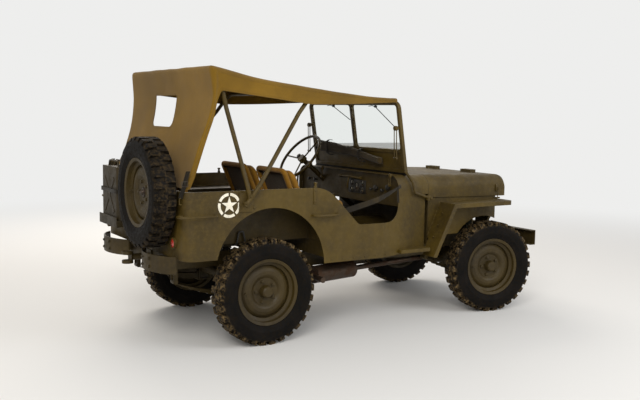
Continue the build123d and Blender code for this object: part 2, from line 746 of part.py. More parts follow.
def make_floor():
    """Front floor pan, raised load floor with its riser, and the cover over the gearbox."""
    inset = SHEET + SEAT_GAP
    slab = extrude(Plane.XY.offset(FLOOR_FRONT) * tub_outline(inset), amount=SHEET)
    slab &= block(STEP_X + SHEET + SEAT_GAP, FIREWALL_X - SHEET - SEAT_GAP, -TUB_HALF, TUB_HALF, 0, FLOOR_REAR)
    rear = extrude(Plane.XY.offset(FLOOR_REAR) * tub_outline(inset), amount=SHEET)
    rear &= block(TUB_REAR + inset, STEP_X + SHEET, -TUB_HALF, TUB_HALF, 0, TUB_TOP)
    riser = block(STEP_X, STEP_X + SHEET, -TUB_HALF + inset, TUB_HALF - inset, FLOOR_FRONT, FLOOR_REAR + SHEET)
    load_floor = rear + riser
    tunnel_front = FIREWALL_X - SHEET - SEAT_GAP
    half = TUNNEL_RADIUS + SHEET
    tunnel = rod((TUNNEL_REAR, 0, FLOOR_FRONT), (tunnel_front, 0, FLOOR_FRONT), half)
    tunnel &= block(TUNNEL_REAR, tunnel_front, -half, half, FLOOR_FRONT, FLOOR_FRONT + half)
    tunnel -= rod((TUNNEL_REAR + SHEET, 0, FLOOR_FRONT), (tunnel_front + 1, 0, FLOOR_FRONT), TUNNEL_RADIUS)
    half += SEAT_GAP
    slab -= block(TUNNEL_REAR - SEAT_GAP, tunnel_front + 1, -half, half, FLOOR_FRONT - 1, FLOOR_FRONT + SHEET + 1)
    arch_x = REAR_AXLE_X - 4
    reach = WHEEL_HOUSE_REACH + SEAT_GAP
    for side in (1, -1):
        inner = side * (WHEEL_HOUSE_Y - SEAT_GAP)
        load_floor -= block(arch_x - reach, arch_x + reach, inner, side * TUB_HALF, FLOOR_REAR - 5, FLOOR_REAR + 5)
    return slab, load_floor, tunnel


def make_wheel_houses():
    """Boxes over the rear wheels, open below and towards the tub's sides."""
    arch_x = REAR_AXLE_X - 4
    reach = WHEEL_HOUSE_REACH
    solids = []
    for side in (1, -1):
        inner = side * WHEEL_HOUSE_Y
        outer = side * (TUB_HALF - SHEET - SEAT_GAP)
        cover = block(arch_x - reach, arch_x + reach, inner, outer, FLOOR_REAR, WHEEL_HOUSE_TOP)
        cover -= block(
            arch_x - reach + SHEET, arch_x + reach - SHEET, inner + side * SHEET, outer + side * 5,
            FLOOR_REAR - 10, WHEEL_HOUSE_TOP - SHEET,
        )
        solids.append(cover)
    return solids


# Cowl, hood and front end

def arch_section(x, half, top, bottom, corner):
    """Inverted U across the vehicle at x."""
    points = ((-half, bottom), (-half, top), (half, top), (half, bottom))
    return Plane.YZ.offset(x) * outline(points, [0, corner, corner, 0])


def arch_loft(sections):
    """Ruled solid through (x, half, top, bottom, corner) rows."""
    solid = None
    for first, second in zip(sections, sections[1:]):
        piece = loft([arch_section(*first), arch_section(*second)], ruled=True)
        solid = piece if solid is None else solid + piece
    return solid


def make_cowl():
    post_half = side_half(DOOR_POST_X)
    grow = 40
    slope_half = (FIREWALL_HALF - post_half) / (FIREWALL_X - DOOR_POST_X)
    slope_top = (COWL_TOP_FRONT - COWL_TOP_REAR) / (FIREWALL_X - DOOR_POST_X)
    outer = arch_loft((
        (DOOR_POST_X, post_half, COWL_TOP_REAR, COWL_BOTTOM, COWL_CORNER),
        (FIREWALL_X - SHEET, FIREWALL_HALF, COWL_TOP_FRONT, COWL_BOTTOM, COWL_CORNER),
    ))
    corner = COWL_CORNER - SHEET
    low = COWL_BOTTOM - 20
    inner = arch_loft((
        (DOOR_POST_X - grow, post_half - grow * slope_half - SHEET, COWL_TOP_REAR - grow * slope_top - SHEET,
         low, corner),
        (FIREWALL_X + grow, FIREWALL_HALF + grow * slope_half - SHEET, COWL_TOP_FRONT + grow * slope_top - SHEET,
         low, corner),
    ))
    leaves = hinge_barrels(0, HINGE_X - 44, COWL_TOP_FRONT)
    pin = rod((HINGE_X, -HINGE_HALF + 1, HINGE_Z), (HINGE_X, HINGE_HALF - 1, HINGE_Z), HINGE_PIN)
    return outer - inner + leaves + pin


def make_bulkheads():
    """Firewall across the front of the tub and the dashboard plate behind it."""
    wall = outline(
        ((-FIREWALL_HALF, FLOOR_FRONT), (-FIREWALL_HALF, COWL_TOP_FRONT),
         (FIREWALL_HALF, COWL_TOP_FRONT), (FIREWALL_HALF, FLOOR_FRONT)),
        [0, COWL_CORNER, COWL_CORNER, 0],
    )
    firewall = extrude(Plane.YZ.offset(FIREWALL_X - SHEET + SEAT_GAP) * wall, amount=SHEET)
    firewall -= column_cut(COLUMN_RADIUS + SEAT_GAP)
    firewall -= rod((FIREWALL_X - 10, 0, FLOOR_FRONT), (FIREWALL_X + 10, 0, FLOOR_FRONT), TUNNEL_RADIUS)
    dash_x = DOOR_POST_X + 34
    half = side_half(dash_x + SHEET) - SHEET - 2 * SEAT_GAP
    top = COWL_TOP_REAR - SHEET - 2
    dash = outline(((-half, 868), (-half, top), (half, top), (half, 868)), [24, 98, 98, 24])
    dashboard = extrude(Plane.YZ.offset(dash_x) * dash, amount=SHEET)
    dashboard -= column_cut(COLUMN_RADIUS + 3)
    return [firewall, dashboard]


def column_length():
    """From the wheel's centre down to the steering box on the left rail."""
    foot = RAIL_TOP + RAIL_KICK - 10 + COLUMN_FOOT_RISE
    return (STEERING_WHEEL_AT[2] - foot) / sin(radians(COLUMN_DROP))


def column_point(distance):
    """Point on the steering column's axis, so far down from the wheel's centre."""
    x, y, z = STEERING_WHEEL_AT
    drop = radians(COLUMN_DROP)
    return (x + distance * cos(drop), y, z - distance * sin(drop))


def column_cut(radius):
    return rod(column_point(100), column_point(column_length()), radius)


HOOD_REAR_X = FIREWALL_X + SHEET + 3
HOOD_SECTIONS = (
    # x, half width, top, bottom, corner
    (HOOD_REAR_X, HOOD_REAR_HALF, COWL_TOP_FRONT, HOOD_BOTTOM, COWL_CORNER - 6),
    (HOOD_FRONT_X - 34, HOOD_FRONT_HALF + 3, HOOD_FRONT_TOP + 1, HOOD_FRONT_BOTTOM, HOOD_CORNER),
    (HOOD_FRONT_X - 12, HOOD_FRONT_HALF + 1, HOOD_FRONT_TOP - 6, HOOD_FRONT_BOTTOM, HOOD_CORNER),
    (HOOD_FRONT_X, HOOD_FRONT_HALF - 3, HOOD_FRONT_TOP - 24, HOOD_FRONT_BOTTOM, HOOD_CORNER),
)
HINGE_X = HOOD_REAR_X - 3
HINGE_Z = COWL_TOP_FRONT + 9
HINGE_RADIUS = 8
HINGE_PIN = 4
HINGE_HALF = 180
HINGE_SPLITS = (-180, -120, -60, 60, 120, 180)
HOOD_BLOCK_X = HOOD_FRONT_X - 140
HOOD_BLOCK_Y = 225


def hinge_barrels(odd, leaf_x, low):
    """Every second knuckle of the hood's hinge, each with its flat leaf at height low."""
    barrels = None
    pairs = list(zip(HINGE_SPLITS, HINGE_SPLITS[1:]))
    for index, (y0, y1) in enumerate(pairs):
        if index % 2 != odd:
            continue
        y0 += SEAT_GAP
        y1 -= SEAT_GAP
        barrel = rod((HINGE_X, y0, HINGE_Z), (HINGE_X, y1, HINGE_Z), HINGE_RADIUS)
        barrel += block(HINGE_X, leaf_x, y0, y1, low, COWL_TOP_FRONT + 3)
        barrels = barrel if barrels is None else barrels + barrel
    return barrels


def make_hood():
    outer = arch_loft(HOOD_SECTIONS)
    shifted = []
    for index, (x, half, top, bottom, corner) in enumerate(HOOD_SECTIONS):
        back = 30 if index == 0 else 0
        inner_x = x - back if index < 2 else x - SHEET
        shifted.append((inner_x, half - SHEET, top - SHEET, bottom - 30, corner - SHEET))
    inner = arch_loft(shifted)
    lip = HOOD_FRONT_TOP - HOOD_LIP
    mouth_half = HOOD_FRONT_HALF - HOOD_RETURN
    mouth = block(HOOD_FRONT_X - 30, HOOD_FRONT_X + 20, -mouth_half, mouth_half, 0, lip)
    shell = outer - inner - mouth
    rests = []
    for side in (1, -1):
        y = side * HOOD_BLOCK_Y
        seat = between([(row[0], row[2]) for row in HOOD_SECTIONS[:2]], HOOD_BLOCK_X)
        rests.append(block(HOOD_BLOCK_X - 30, HOOD_BLOCK_X + 30, y - 60, y + 60, seat - 1, seat + 26))
    leaves = hinge_barrels(1, HINGE_X + 44, COWL_TOP_FRONT - 2)
    leaves -= rod((HINGE_X, -HINGE_HALF, HINGE_Z), (HINGE_X, HINGE_HALF, HINGE_Z), HINGE_PIN + 0.1)
    return shell + rests[0] + rests[1] + leaves


def grille_outline(inset):
    """Front view of the grille, narrower at its foot where the turned tyres pass."""
    half = GRILLE_HALF - inset
    foot = GRILLE_FOOT_HALF - inset
    low = GRILLE_BOTTOM + inset
    top = GRILLE_TOP - inset
    corner = GRILLE_CORNER - inset
    right = ((half, top), (half, GRILLE_SHOULDER), (foot, GRILLE_FOOT_TOP), (foot, low))
    left = [(-y, z) for y, z in reversed(right)]
    radii = [corner, GRILLE_BEND, GRILLE_BEND, GRILLE_FOOT_CORNER]
    return outline(list(right) + left, radii + radii[::-1])


def make_grille():
    """Pressed plate with a return flange, tall slots and round lamp holes."""
    plate = grille_outline(0)
    skin = extrude(Plane.YZ.offset(GRILLE_X) * plate, amount=SHEET)
    flange = extrude(Plane.YZ.offset(GRILLE_X - GRILLE_FLANGE) * plate, amount=GRILLE_FLANGE + 1)
    flange -= extrude(Plane.YZ.offset(GRILLE_X - 2 * GRILLE_FLANGE) * grille_outline(SHEET), amount=3 * GRILLE_FLANGE)
    grille = skin + flange
    for index in range(SLOT_COUNT):
        y = (index - (SLOT_COUNT - 1) / 2) * SLOT_PITCH
        if abs(y) > LAMP_Y - LAMP_RADIUS - SLOT_WIDTH / 2:
            continue
        slot = RectangleRounded(SLOT_WIDTH, SLOT_HEIGHT, SLOT_WIDTH / 2 - 1)
        grille -= extrude(Plane.YZ.offset(GRILLE_X - 5) * Pos(y, SLOT_Z) * slot, amount=20)
        frame = RectangleRounded(SLOT_WIDTH + 2 * SHEET, SLOT_HEIGHT + 2 * SHEET, SLOT_WIDTH / 2 + SHEET - 1)
        lip = extrude(Plane.YZ.offset(GRILLE_X - SLOT_LIP) * Pos(y, SLOT_Z) * (frame - slot), amount=SLOT_LIP + 1)
        grille += lip
    for side in (1, -1):
        hole = (GRILLE_X - 5, side * LAMP_Y, LAMP_Z)
        grille -= rod(hole, (GRILLE_X + 15, side * LAMP_Y, LAMP_Z), LAMP_RADIUS + SEAT_GAP)
    return grille


def make_lamps():
    """Head lamps with domed lenses, marker lamps, and a tail lamp and a reflector."""
    lamp = LAMP_RADIUS
    bowl = turned_along((
        (GRILLE_X - 62, 0), (GRILLE_X - 62, 0.4 * lamp), (GRILLE_X - 48, 0.75 * lamp), (GRILLE_X - 22, 0.97 * lamp),
        (GRILLE_X - 10, lamp), (GRILLE_X + 9, lamp), (GRILLE_X + 13, 0.94 * lamp), (GRILLE_X + 13, 0.88 * lamp),
        (GRILLE_X + 20, 0.6 * lamp), (GRILLE_X + 24, 0.3 * lamp), (GRILLE_X + 25, 0),
    ))
    face = GRILLE_X + SHEET + SEAT_GAP
    marker = turned_along((
        (face, 0), (face, 0.8 * MARKER_RADIUS), (face + 14, MARKER_RADIUS), (face + 24, MARKER_RADIUS),
        (face + 31, 0.6 * MARKER_RADIUS), (face + 33, 0),
    ))
    solids = []
    for side in (1, -1):
        solids.append(bowl.moved(Pos(0, side * LAMP_Y, LAMP_Z)))
        solids.append(marker.moved(Pos(0, side * LAMP_Y, MARKER_Z)))
    for side, depth in ((1, 46), (-1, 14)):
        tail = turned_along((
            (TUB_REAR - SEAT_GAP, 0), (TUB_REAR - SEAT_GAP, TAIL_LAMP_RADIUS),
            (TUB_REAR - depth + 6, TAIL_LAMP_RADIUS), (TUB_REAR - depth, 0.8 * TAIL_LAMP_RADIUS),
            (TUB_REAR - depth - 4, 0),
        ))
        solids.append(tail.moved(Pos(0, side * (TUB_HALF - 165), TAIL_LAMP_Z)))
    return solids


def apron_half(x):
    """Half width of the inner aprons, a running gap inside the hood's sides."""
    share = (x - HOOD_REAR_X) / (HOOD_FRONT_X - HOOD_REAR_X)
    return HOOD_REAR_HALF + (HOOD_FRONT_HALF - HOOD_REAR_HALF) * share - SHEET - RUNNING_GAP


def make_fender():
    """Right front fender: flat top, sloping rear panel, outer lip and inner apron."""
    inner_y = -apron_half(FENDER_FRONT_X) + 1
    outer_y = -TUB_HALF
    top_plan = (
        (FENDER_TOE_X - 10, outer_y), (FENDER_FRONT_X, outer_y), (FENDER_FRONT_X, inner_y),
        (FIREWALL_X + 12, -apron_half(FIREWALL_X + 12) + 1), (FIREWALL_X + 12, -(FIREWALL_HALF + 1)),
        (FIREWALL_X, -(FIREWALL_HALF + 1)), (FENDER_TOE_X - 10, -(side_half(FENDER_TOE_X - 10) + SEAT_GAP)),
    )
    plan = plan_prism(top_plan, FENDER_TOE_Z - 5, FENDER_TOP + 5, [0, FENDER_CORNER, 0, 0, 0, 0, 0])
    plan_in = plan_prism(
        ((FENDER_TOE_X - 20, outer_y + SHEET), (FENDER_FRONT_X - SHEET, outer_y + SHEET),
         (FENDER_FRONT_X - SHEET, inner_y + 20), (FENDER_TOE_X - 20, inner_y + 20)),
        FENDER_TOE_Z - 50, FENDER_TOP + 50, [0, FENDER_CORNER - SHEET, 0, 0],
    )
    slope_run = Vector(FENDER_REAR_X - FENDER_TOE_X, 0, FENDER_TOP - FENDER_TOE_Z)
    unit = slope_run.normalized()
    drop = Vector(unit.Z, 0, -unit.X)
    line = (
        (FENDER_TOE_X, FENDER_TOE_Z), (FENDER_REAR_X, FENDER_TOP), (FENDER_FRONT_X + 5, FENDER_TOP),
    )
    def band(depth):
        low = (FENDER_TOE_X + drop.X * depth, FENDER_TOE_Z + drop.Z * depth)
        knee = (FENDER_REAR_X + depth / unit.Z - depth * unit.X / unit.Z, FENDER_TOP - depth)
        end = (FENDER_FRONT_X + 5, FENDER_TOP - depth)
        return side_prism(list(line) + [end, knee, low], outer_y - 5, -400)
    skin = plan & band(SHEET)
    lip = (plan - plan_in) & band(FENDER_LIP)
    fender = skin + lip
    back = FIREWALL_X + 2 * SEAT_GAP
    front = GRILLE_X - GRILLE_FLANGE - SEAT_GAP
    apron = plan_prism(
        ((back, -apron_half(back)), (front, -apron_half(front)), (front, -apron_half(front) + SHEET),
         (back, -apron_half(back) + SHEET)),
        620, HOOD_BOTTOM - RUNNING_GAP,
    )
    arch_x = FRONT_AXLE_X - APRON_CUT_BACK
    apron -= rod((arch_x, -900, WHEEL_Z), (arch_x, -300, WHEEL_Z), APRON_CUT)
    return fender + apron


# Windshield

def shield_place(shape):
    x, z = SHIELD_FOOT
    return Pos(x, 0, z) * Rot(0, -SHIELD_LEAN, 0) * shape


def make_windshield():
    outer = outline(
        ((-SHIELD_HALF, 0), (-SHIELD_HALF, SHIELD_HEIGHT), (SHIELD_HALF, SHIELD_HEIGHT), (SHIELD_HALF, 0)),
        [8, 55, 55, 8],
    )
    bar = SHIELD_BAR
    gap = SEAT_GAP
    inner_half = SHIELD_HALF - bar
    cut = []
    panes = []
    for side in (1, -1):
        ys = (side * 13, side * inner_half)
        window = outline(
            ((ys[0], GLASS_BOTTOM), (ys[0], GLASS_TOP), (ys[1], GLASS_TOP), (ys[1], GLASS_BOTTOM)),
            [22, 22, 22, 22],
        )
        cut.append(window)
        pane = outline(
            ((ys[0] + side * gap, GLASS_BOTTOM + gap), (ys[0] + side * gap, GLASS_TOP - gap),
             (ys[1] - side * gap, GLASS_TOP - gap), (ys[1] - side * gap, GLASS_BOTTOM + gap)),
            [22 - gap, 22 - gap, 22 - gap, 22 - gap],
        )
        panes.append(extrude(Plane.YZ.offset(-2) * pane, amount=4))
    low_panel = outline(
        ((-inner_half, bar), (-inner_half, GLASS_BOTTOM - bar), (inner_half, GLASS_BOTTOM - bar),
         (inner_half, bar)),
    )
    ring = outer - cut[0] - cut[1] - low_panel
    frame = extrude(Plane.YZ.offset(-bar / 2) * ring, amount=bar)
    frame += extrude(Plane.YZ.offset(-SHEET / 2) * low_panel, amount=SHEET)
    frame = shield_place(frame)
    px, pz = SHIELD_PIVOT
    foot_x, foot_z = SHIELD_FOOT
    for side in (1, -1):
        arm = bent_bar(
            ((foot_x, side * (SHIELD_HALF - 8), foot_z + 8),
             (foot_x + 14, side * (side_half(foot_x + 14) + 15), foot_z - 60),
             (foot_x + 38, side * (side_half(foot_x + 38) + 25), 965), (px, side * (side_half(px) + 18), pz)),
            10, 22,
        )
        boss = rod((px, side * (side_half(px - 20) + SEAT_GAP), pz), (px, side * (side_half(px) + 30), pz), 20)
        frame += arm + boss
    return frame, [shield_place(pane) for pane in panes]


MIRROR_Y = TUB_HALF - 9
MIRROR_RADIUS = 56


def make_mirror():
    disc = rod((150, MIRROR_Y, 1063), (138, MIRROR_Y, 1065), MIRROR_RADIUS)
    stalk = rod((148, MIRROR_Y, 1060), (174, MIRROR_Y, 1040), 6)
    stalk += rod((174, MIRROR_Y + 4, 1040), (174, side_half(174) + 27, 1040), 6)
    return disc + stalk


# Canvas top and its bows

def canvas_half(x):
    front_x = ROOF_LINE[0][0]
    rear_x = ROOF_LINE[-1][0]
    share = min(1, max(0, (front_x - x) / (front_x - rear_x)))
    return CANVAS_FRONT_HALF + (CANVAS_REAR_HALF - CANVAS_FRONT_HALF) * share


def canvas_block(inset):
    """The space under the top, drawn inset on every side but the front and the foot."""
    roof = [(x, z - inset) for x, z in ROOF_LINE[:-1]]
    curtain = [(x + inset, z) for x, z, half in CURTAIN_FOLD]
    curtain[0] = (curtain[0][0], curtain[0][1] - inset)
    foot_x, foot_z = CURTAIN_FOOT
    extra = inset * 2
    profile = [(roof[0][0] + extra, roof[0][1])] + roof
    if inset == 0:
        profile = roof
    profile += curtain
    if inset:
        profile.append((foot_x + inset, foot_z - inset * 4))
    profile.append((roof[0][0] + extra, foot_z - inset * 4))
    solid = side_prism(profile, -900, 900)
    right = [(half - inset, z) for x, z, half in CURTAIN_FOLD]
    right[0] = (right[0][0] - inset, right[0][1] + 40)
    right.append((right[-1][0], foot_z - 60))
    solid &= cross_prism(right + [(-y, z) for y, z in reversed(right)], TUB_REAR - 50, 300)
    rear = ROOF_LINE[-1][0]
    front = ROOF_LINE[0][0]
    plan = plan_prism(
        ((foot_x - 50, -CANVAS_REAR_HALF + inset), (rear, -CANVAS_REAR_HALF + inset),
         (front + extra, -CANVAS_FRONT_HALF + inset), (front + extra, CANVAS_FRONT_HALF - inset),
         (rear, CANVAS_REAR_HALF - inset), (foot_x - 50, CANVAS_REAR_HALF - inset)),
        foot_z - 100, 2000,
    )
    return solid & plan


def make_canvas():
    shell = canvas_block(0) - canvas_block(CANVAS)
    flap = list(FLAP_LINE)
    foot_x, foot_z = CURTAIN_FOOT
    top_x = ROOF_LINE[-1][0]
    below = flap + [(top_x + CURTAIN_MARGIN + 12, 1600), (foot_x + CURTAIN_MARGIN, foot_z - 40), (200, foot_z - 40),
                    (200, FLAP_LINE[0][1])]
    opening = side_prism(below, -900, 900)
    sides = opening - block(-2000, 2000, -400, 400, 0, 3000)
    shell = shell - sides
    window = cross_prism(
        ((-190, 1635), (190, 1635), (184, 1424), (-184, 1424)), -1700, -1350, [8, 8, 46, 46],
    )
    return shell - window


BOW_RADIUS = 14
BOW_GAP = 12
BOW_FOOT = (-1215, TUB_HALF + 28, 963)
BOWS = (
    # x at the top, x at the foot, height of the foot, height of the knee
    (-1378, -1197, 985, 1560),
    (-665, -1232, 942, 1530),
)


def make_bows():
    """Two hoops bolted to one bracket on each side of the tub."""
    foot_x, foot_y, foot_z = BOW_FOOT
    bows = None
    for x, foot, low, knee in BOWS:
        half = canvas_half(x) - CANVAS - BOW_RADIUS - BOW_GAP
        top = between(ROOF_LINE, x) - CANVAS - BOW_RADIUS - 4
        knee_x = foot + (x - foot) * (knee - low) / (top - low)
        rise = TUB_TOP + 24
        rise_x = foot + (x - foot) * (rise - low) / (top - low)
        legs = (
            (foot, -foot_y, low), (rise_x, -foot_y, rise), (knee_x, -half, knee), (x, -half, top),
            (x, half, top), (knee_x, half, knee), (rise_x, foot_y, rise), (foot, foot_y, low),
        )
        hoop = bent_bar(legs, BOW_RADIUS, [120, 120, 70, 70, 120, 120])
        bows = hoop if bows is None else bows + hoop
        for side in (1, -1):
            bows += rod((foot, side * (TUB_HALF + 4), low + 22), (foot, side * foot_y, low + 22), 9)
    for side in (1, -1):
        faces = sorted((side * (TUB_HALF + SEAT_GAP), side * (TUB_HALF + 7)))
        bows += block(foot_x - 48, foot_x + 48, faces[0], faces[1], foot_z - 60, foot_z + 65)
    return bows


# Steering wheel and column

def column_plane(distance):
    drop = radians(COLUMN_DROP)
    return Plane(origin=column_point(distance), z_dir=(-cos(drop), 0, sin(drop)), x_dir=(sin(drop), 0, cos(drop)))


def make_steering_wheel():
    plane = column_plane(0)
    rim = Torus(STEERING_WHEEL_RADIUS - 11, 11)
    wheel = rim
    for index in range(3):
        angle = 90 + index * 120
        spoke = Rot(0, 0, angle) * rod((20, 0, -28), (STEERING_WHEEL_RADIUS - 14, 0, 0), 6)
        wheel += spoke
    wheel += rod((0, 0, -48), (0, 0, -8), 32)
    return plane.location * wheel


def make_column():
    start = column_point(50)
    end = column_point(column_length())
    column = rod(start, end, COLUMN_RADIUS)
    end_x, end_y, end_z = end
    low = rail_bottom(end_x) + RAIL_HEIGHT + SEAT_GAP
    box = block(end_x - 60, end_x + 66, RAIL_Y - 22, end_y + 25, low, end_z + 30)
    return column + box


# Seats, controls, load space and outside fittings

SEAT_Y = 290
SEAT_HALF = 188
SEAT_TUBE = 12
CUSHION_TOP = 905
CUSHION_BOTTOM = 815


SEAT_FOOT_X = -300
SEAT_PIVOT_Z = 590
SEAT_PIN = 5
SEAT_BEND_X = -640
SEAT_BEND_Z = 790
SEAT_HOOP_X = -793
SEAT_HOOP_Z = 1134
BACK_LOW = 905
BACK_TOP = 1158
BACK_HALF = 202
BACK_CORNER = 70


def seat_ears(y, half):
    """Floor brackets with the pins that the tipping passenger seat turns on."""
    floor_z = FLOOR_FRONT + SHEET + SEAT_GAP
    ears = []
    for edge in (1, -1):
        face = y + edge * (half + SEAT_TUBE + 0.5)
        sides = sorted((face, face + edge * 5))
        ear = block(SEAT_FOOT_X - 18, SEAT_FOOT_X + 18, sides[0], sides[1], floor_z, SEAT_PIVOT_Z + 16)
        ear += rod((SEAT_FOOT_X, face, SEAT_PIVOT_Z), (SEAT_FOOT_X, y + edge * (half - 10), SEAT_PIVOT_Z), SEAT_PIN)
        ears.append(ear)
    return ears


def seat_tubes(y, half, tips=False):
    """One bent tube per front seat: front legs, seat rails and a hoop for the back; two more legs behind."""
    floor_z = FLOOR_FRONT + SHEET + SEAT_GAP
    foot_z = SEAT_PIVOT_Z - 15 if tips else floor_z
    side = ((SEAT_FOOT_X, foot_z), (SEAT_FOOT_X, 800), (SEAT_BEND_X, SEAT_BEND_Z), (SEAT_HOOP_X, SEAT_HOOP_Z))
    path = [(x, y - half, z) for x, z in side] + [(x, y + half, z) for x, z in reversed(side)]
    frame = bent_bar(path, SEAT_TUBE, [45, 60, 60, 60, 60, 45])
    frame += rod((-600, y - half, 795), (-600, y + half, 795), SEAT_TUBE)
    for edge in (1, -1):
        tube_y = y + edge * half
        if tips:
            ends = (y + edge * (half - 20), y + edge * (half + 20))
            frame -= rod((SEAT_FOOT_X, ends[0], SEAT_PIVOT_Z), (SEAT_FOOT_X, ends[1], SEAT_PIVOT_Z), SEAT_PIN + 0.1)
        frame += rod((-575, tube_y, floor_z), (-575, tube_y, 795), SEAT_TUBE - 1)
    return frame


def seat_pads(y, half):
    """Cushion on the rails, and a back pad in front of the hoop with its top corners rounded."""
    cushion = side_prism(
        ((-600, CUSHION_BOTTOM), (-610, CUSHION_TOP - 6), (-262, CUSHION_TOP + 8), (-258, CUSHION_BOTTOM + 6)),
        y - half + 4, y + half - 4, [20, 30, 30, 20],
    )
    back = side_prism(
        ((-652, BACK_LOW), (-760, BACK_TOP - 10), (-710, BACK_TOP), (-606, BACK_LOW + 10)),
        y - BACK_HALF, y + BACK_HALF, [14, 18, 18, 14],
    )
    back &= cross_prism(
        ((y - BACK_HALF, BACK_LOW - 10), (y - BACK_HALF, BACK_TOP), (y + BACK_HALF, BACK_TOP),
         (y + BACK_HALF, BACK_LOW - 10)),
        -900, -500, [0, BACK_CORNER, BACK_CORNER, 0],
    )
    return [cushion, back]


REAR_SEAT_HALF = 440


def make_rear_seat():
    half = REAR_SEAT_HALF
    front = TUB_REAR + 445
    rear = TUB_REAR + 145
    feet = FLOOR_REAR + SHEET + SEAT_GAP
    frame = rod((front, -half, 830), (front, half, 830), 13)
    frame += rod((rear, -half, 822), (rear, half, 822), 13)
    for edge in (1, -1):
        y = edge * half
        frame += bent_bar(((front, y, feet), (front, y, 830), (rear, y, 822), (rear - 60, y, 1080)), 13, 40)
    frame += rod((rear - 58, -half, 1070), (rear - 58, half, 1070), 12)
    cushion = side_prism(
        ((rear + 10, 846), (rear + 10, 920), (front + 30, 930), (front + 30, 848)),
        -half + 20, half - 20, [20, 26, 26, 20],
    )
    back = side_prism(
        ((rear - 6, 930), (rear - 44, 1110), (rear, 1116), (rear + 50, 935)),
        -half + 20, half - 20, [12, 16, 16, 12],
    )
    return frame, [cushion, back]


def make_controls():
    levers = []
    floor_z = FLOOR_FRONT + SHEET + SEAT_GAP
    table = (
        # x, y, height, radius
        (20, 30, 330, 8),
        (-20, -30, 230, 7),
        (10, -72, 230, 7),
    )
    for x, y, height, radius in table:
        lever = bent_bar(((x, y, floor_z), (x, y, floor_z + 60), (x - 70, y, floor_z + height)), radius, 24)
        lever += Pos(x - 70, y, floor_z + height) * Sphere(18)
        levers.append(lever)
    for y in (225, 310, 440):
        pedal = bent_bar(((320, y, floor_z), (320, y, floor_z + 60), (250, y, floor_z + 160)), 8, 24)
        pedal += block(238, 256, y - 30, y + 30, floor_z + 130, floor_z + 195)
        levers.append(pedal)
    return levers


TANK_TOP = 772


def make_fuel_tank():
    """Rounded tank on the floor under the driver's seat."""
    low = FLOOR_FRONT + SHEET + SEAT_GAP
    y0 = SEAT_Y - 165
    y1 = SEAT_Y + 165
    section = ((y0, low), (y0, TANK_TOP), (y1, TANK_TOP), (y1, low))
    return cross_prism(section, -555, -325, [25, 40, 40, 25])


CAN_Y = (32, 372)
CAN_DEPTH = 160
CAN_TOP = 1148
CAN_CORNER = 34
CAN_HANDLE_X = (-46, 0, 46)
CAN_HANDLE_RISE = 36
RACK_FLOOR = 742
RACK_SHEET = 15


def make_rear_carriers():
    """Spare wheel bracket and the fuel can's tray."""
    seat_x = SPARE_X - (DISC_FACE - RIM_SHEET) + SEAT_GAP
    bracket = block(TUB_REAR - 8, TUB_REAR - SEAT_GAP, SPARE_Y - 90, SPARE_Y + 90, 880, 1035)
    bracket += rod((TUB_REAR - 6, SPARE_Y, SPARE_Z - 10), (seat_x + 4, SPARE_Y, SPARE_Z - 10), 22)
    bracket += rod((seat_x + 8, SPARE_Y, SPARE_Z), (seat_x, SPARE_Y, SPARE_Z), 80)
    y0 = CAN_Y[0] - 12
    y1 = CAN_Y[1] + 12
    back = TUB_REAR - 8 - CAN_DEPTH
    floor = RACK_FLOOR + RACK_SHEET
    rack = block(back - 4, TUB_REAR - SEAT_GAP, y0, y1, RACK_FLOOR, floor)
    rack += block(back - 6, back - 2, y0, y1, RACK_FLOOR, floor + 53)
    for y in (y0 + 2, y1 - 2):
        rack += block(back - 4, TUB_REAR - SEAT_GAP, y - 2, y + 2, RACK_FLOOR, floor + 30)
    for y in (CAN_Y[0] + 50, CAN_Y[1] - 50):
        rack += block(TUB_REAR - 8, TUB_REAR - SEAT_GAP, y - 14, y + 14, RACK_FLOOR, TUB_TOP - 20)
    return [bracket, rack]


def make_jerry_can():
    """Pressed can with rounded corners, an X rib on its outer face, three handles and a cap."""
    front = TUB_REAR - 8 - SEAT_GAP
    back = front - CAN_DEPTH + 8
    y0, y1 = CAN_Y
    low = RACK_FLOOR + RACK_SHEET + SEAT_GAP
    corners = [CAN_CORNER] * 4
    can = plan_prism(((back, y0), (front, y0), (front, y1), (back, y1)), low, CAN_TOP, corners)
    can &= cross_prism(((y0, low), (y0, CAN_TOP), (y1, CAN_TOP), (y1, low)), back, front, [14, 30, 30, 14])
    middle_x = (back + front) / 2
    middle_y = (y0 + y1) / 2
    middle_z = (low + CAN_TOP) / 2
    for lean in (50, -50):
        rib = Pos(back, middle_y, middle_z) * Rot(lean, 0, 0) * Box(7, 300, 26)
        can += rib & block(back - 3.5, back + 3, y0 + 40, y1 - 40, low + 40, CAN_TOP - 40)
    for shift in CAN_HANDLE_X:
        x = middle_x + shift
        rise = CAN_TOP + CAN_HANDLE_RISE
        can += bent_bar(
            ((x, y0 + 60, CAN_TOP - 4), (x, y0 + 75, rise), (x, y1 - 95, rise), (x, y1 - 80, CAN_TOP - 4)), 7, 16,
        )
    can += rod((middle_x, y1 - 38, CAN_TOP - 4), (middle_x, y1 - 38, CAN_TOP + 24), 27)
    return can


HANDLE_REACH = 42
HANDLE_RADIUS = 8
SIDE_HANDLE_Z = 855
CORNER_HANDLE_Z = 890


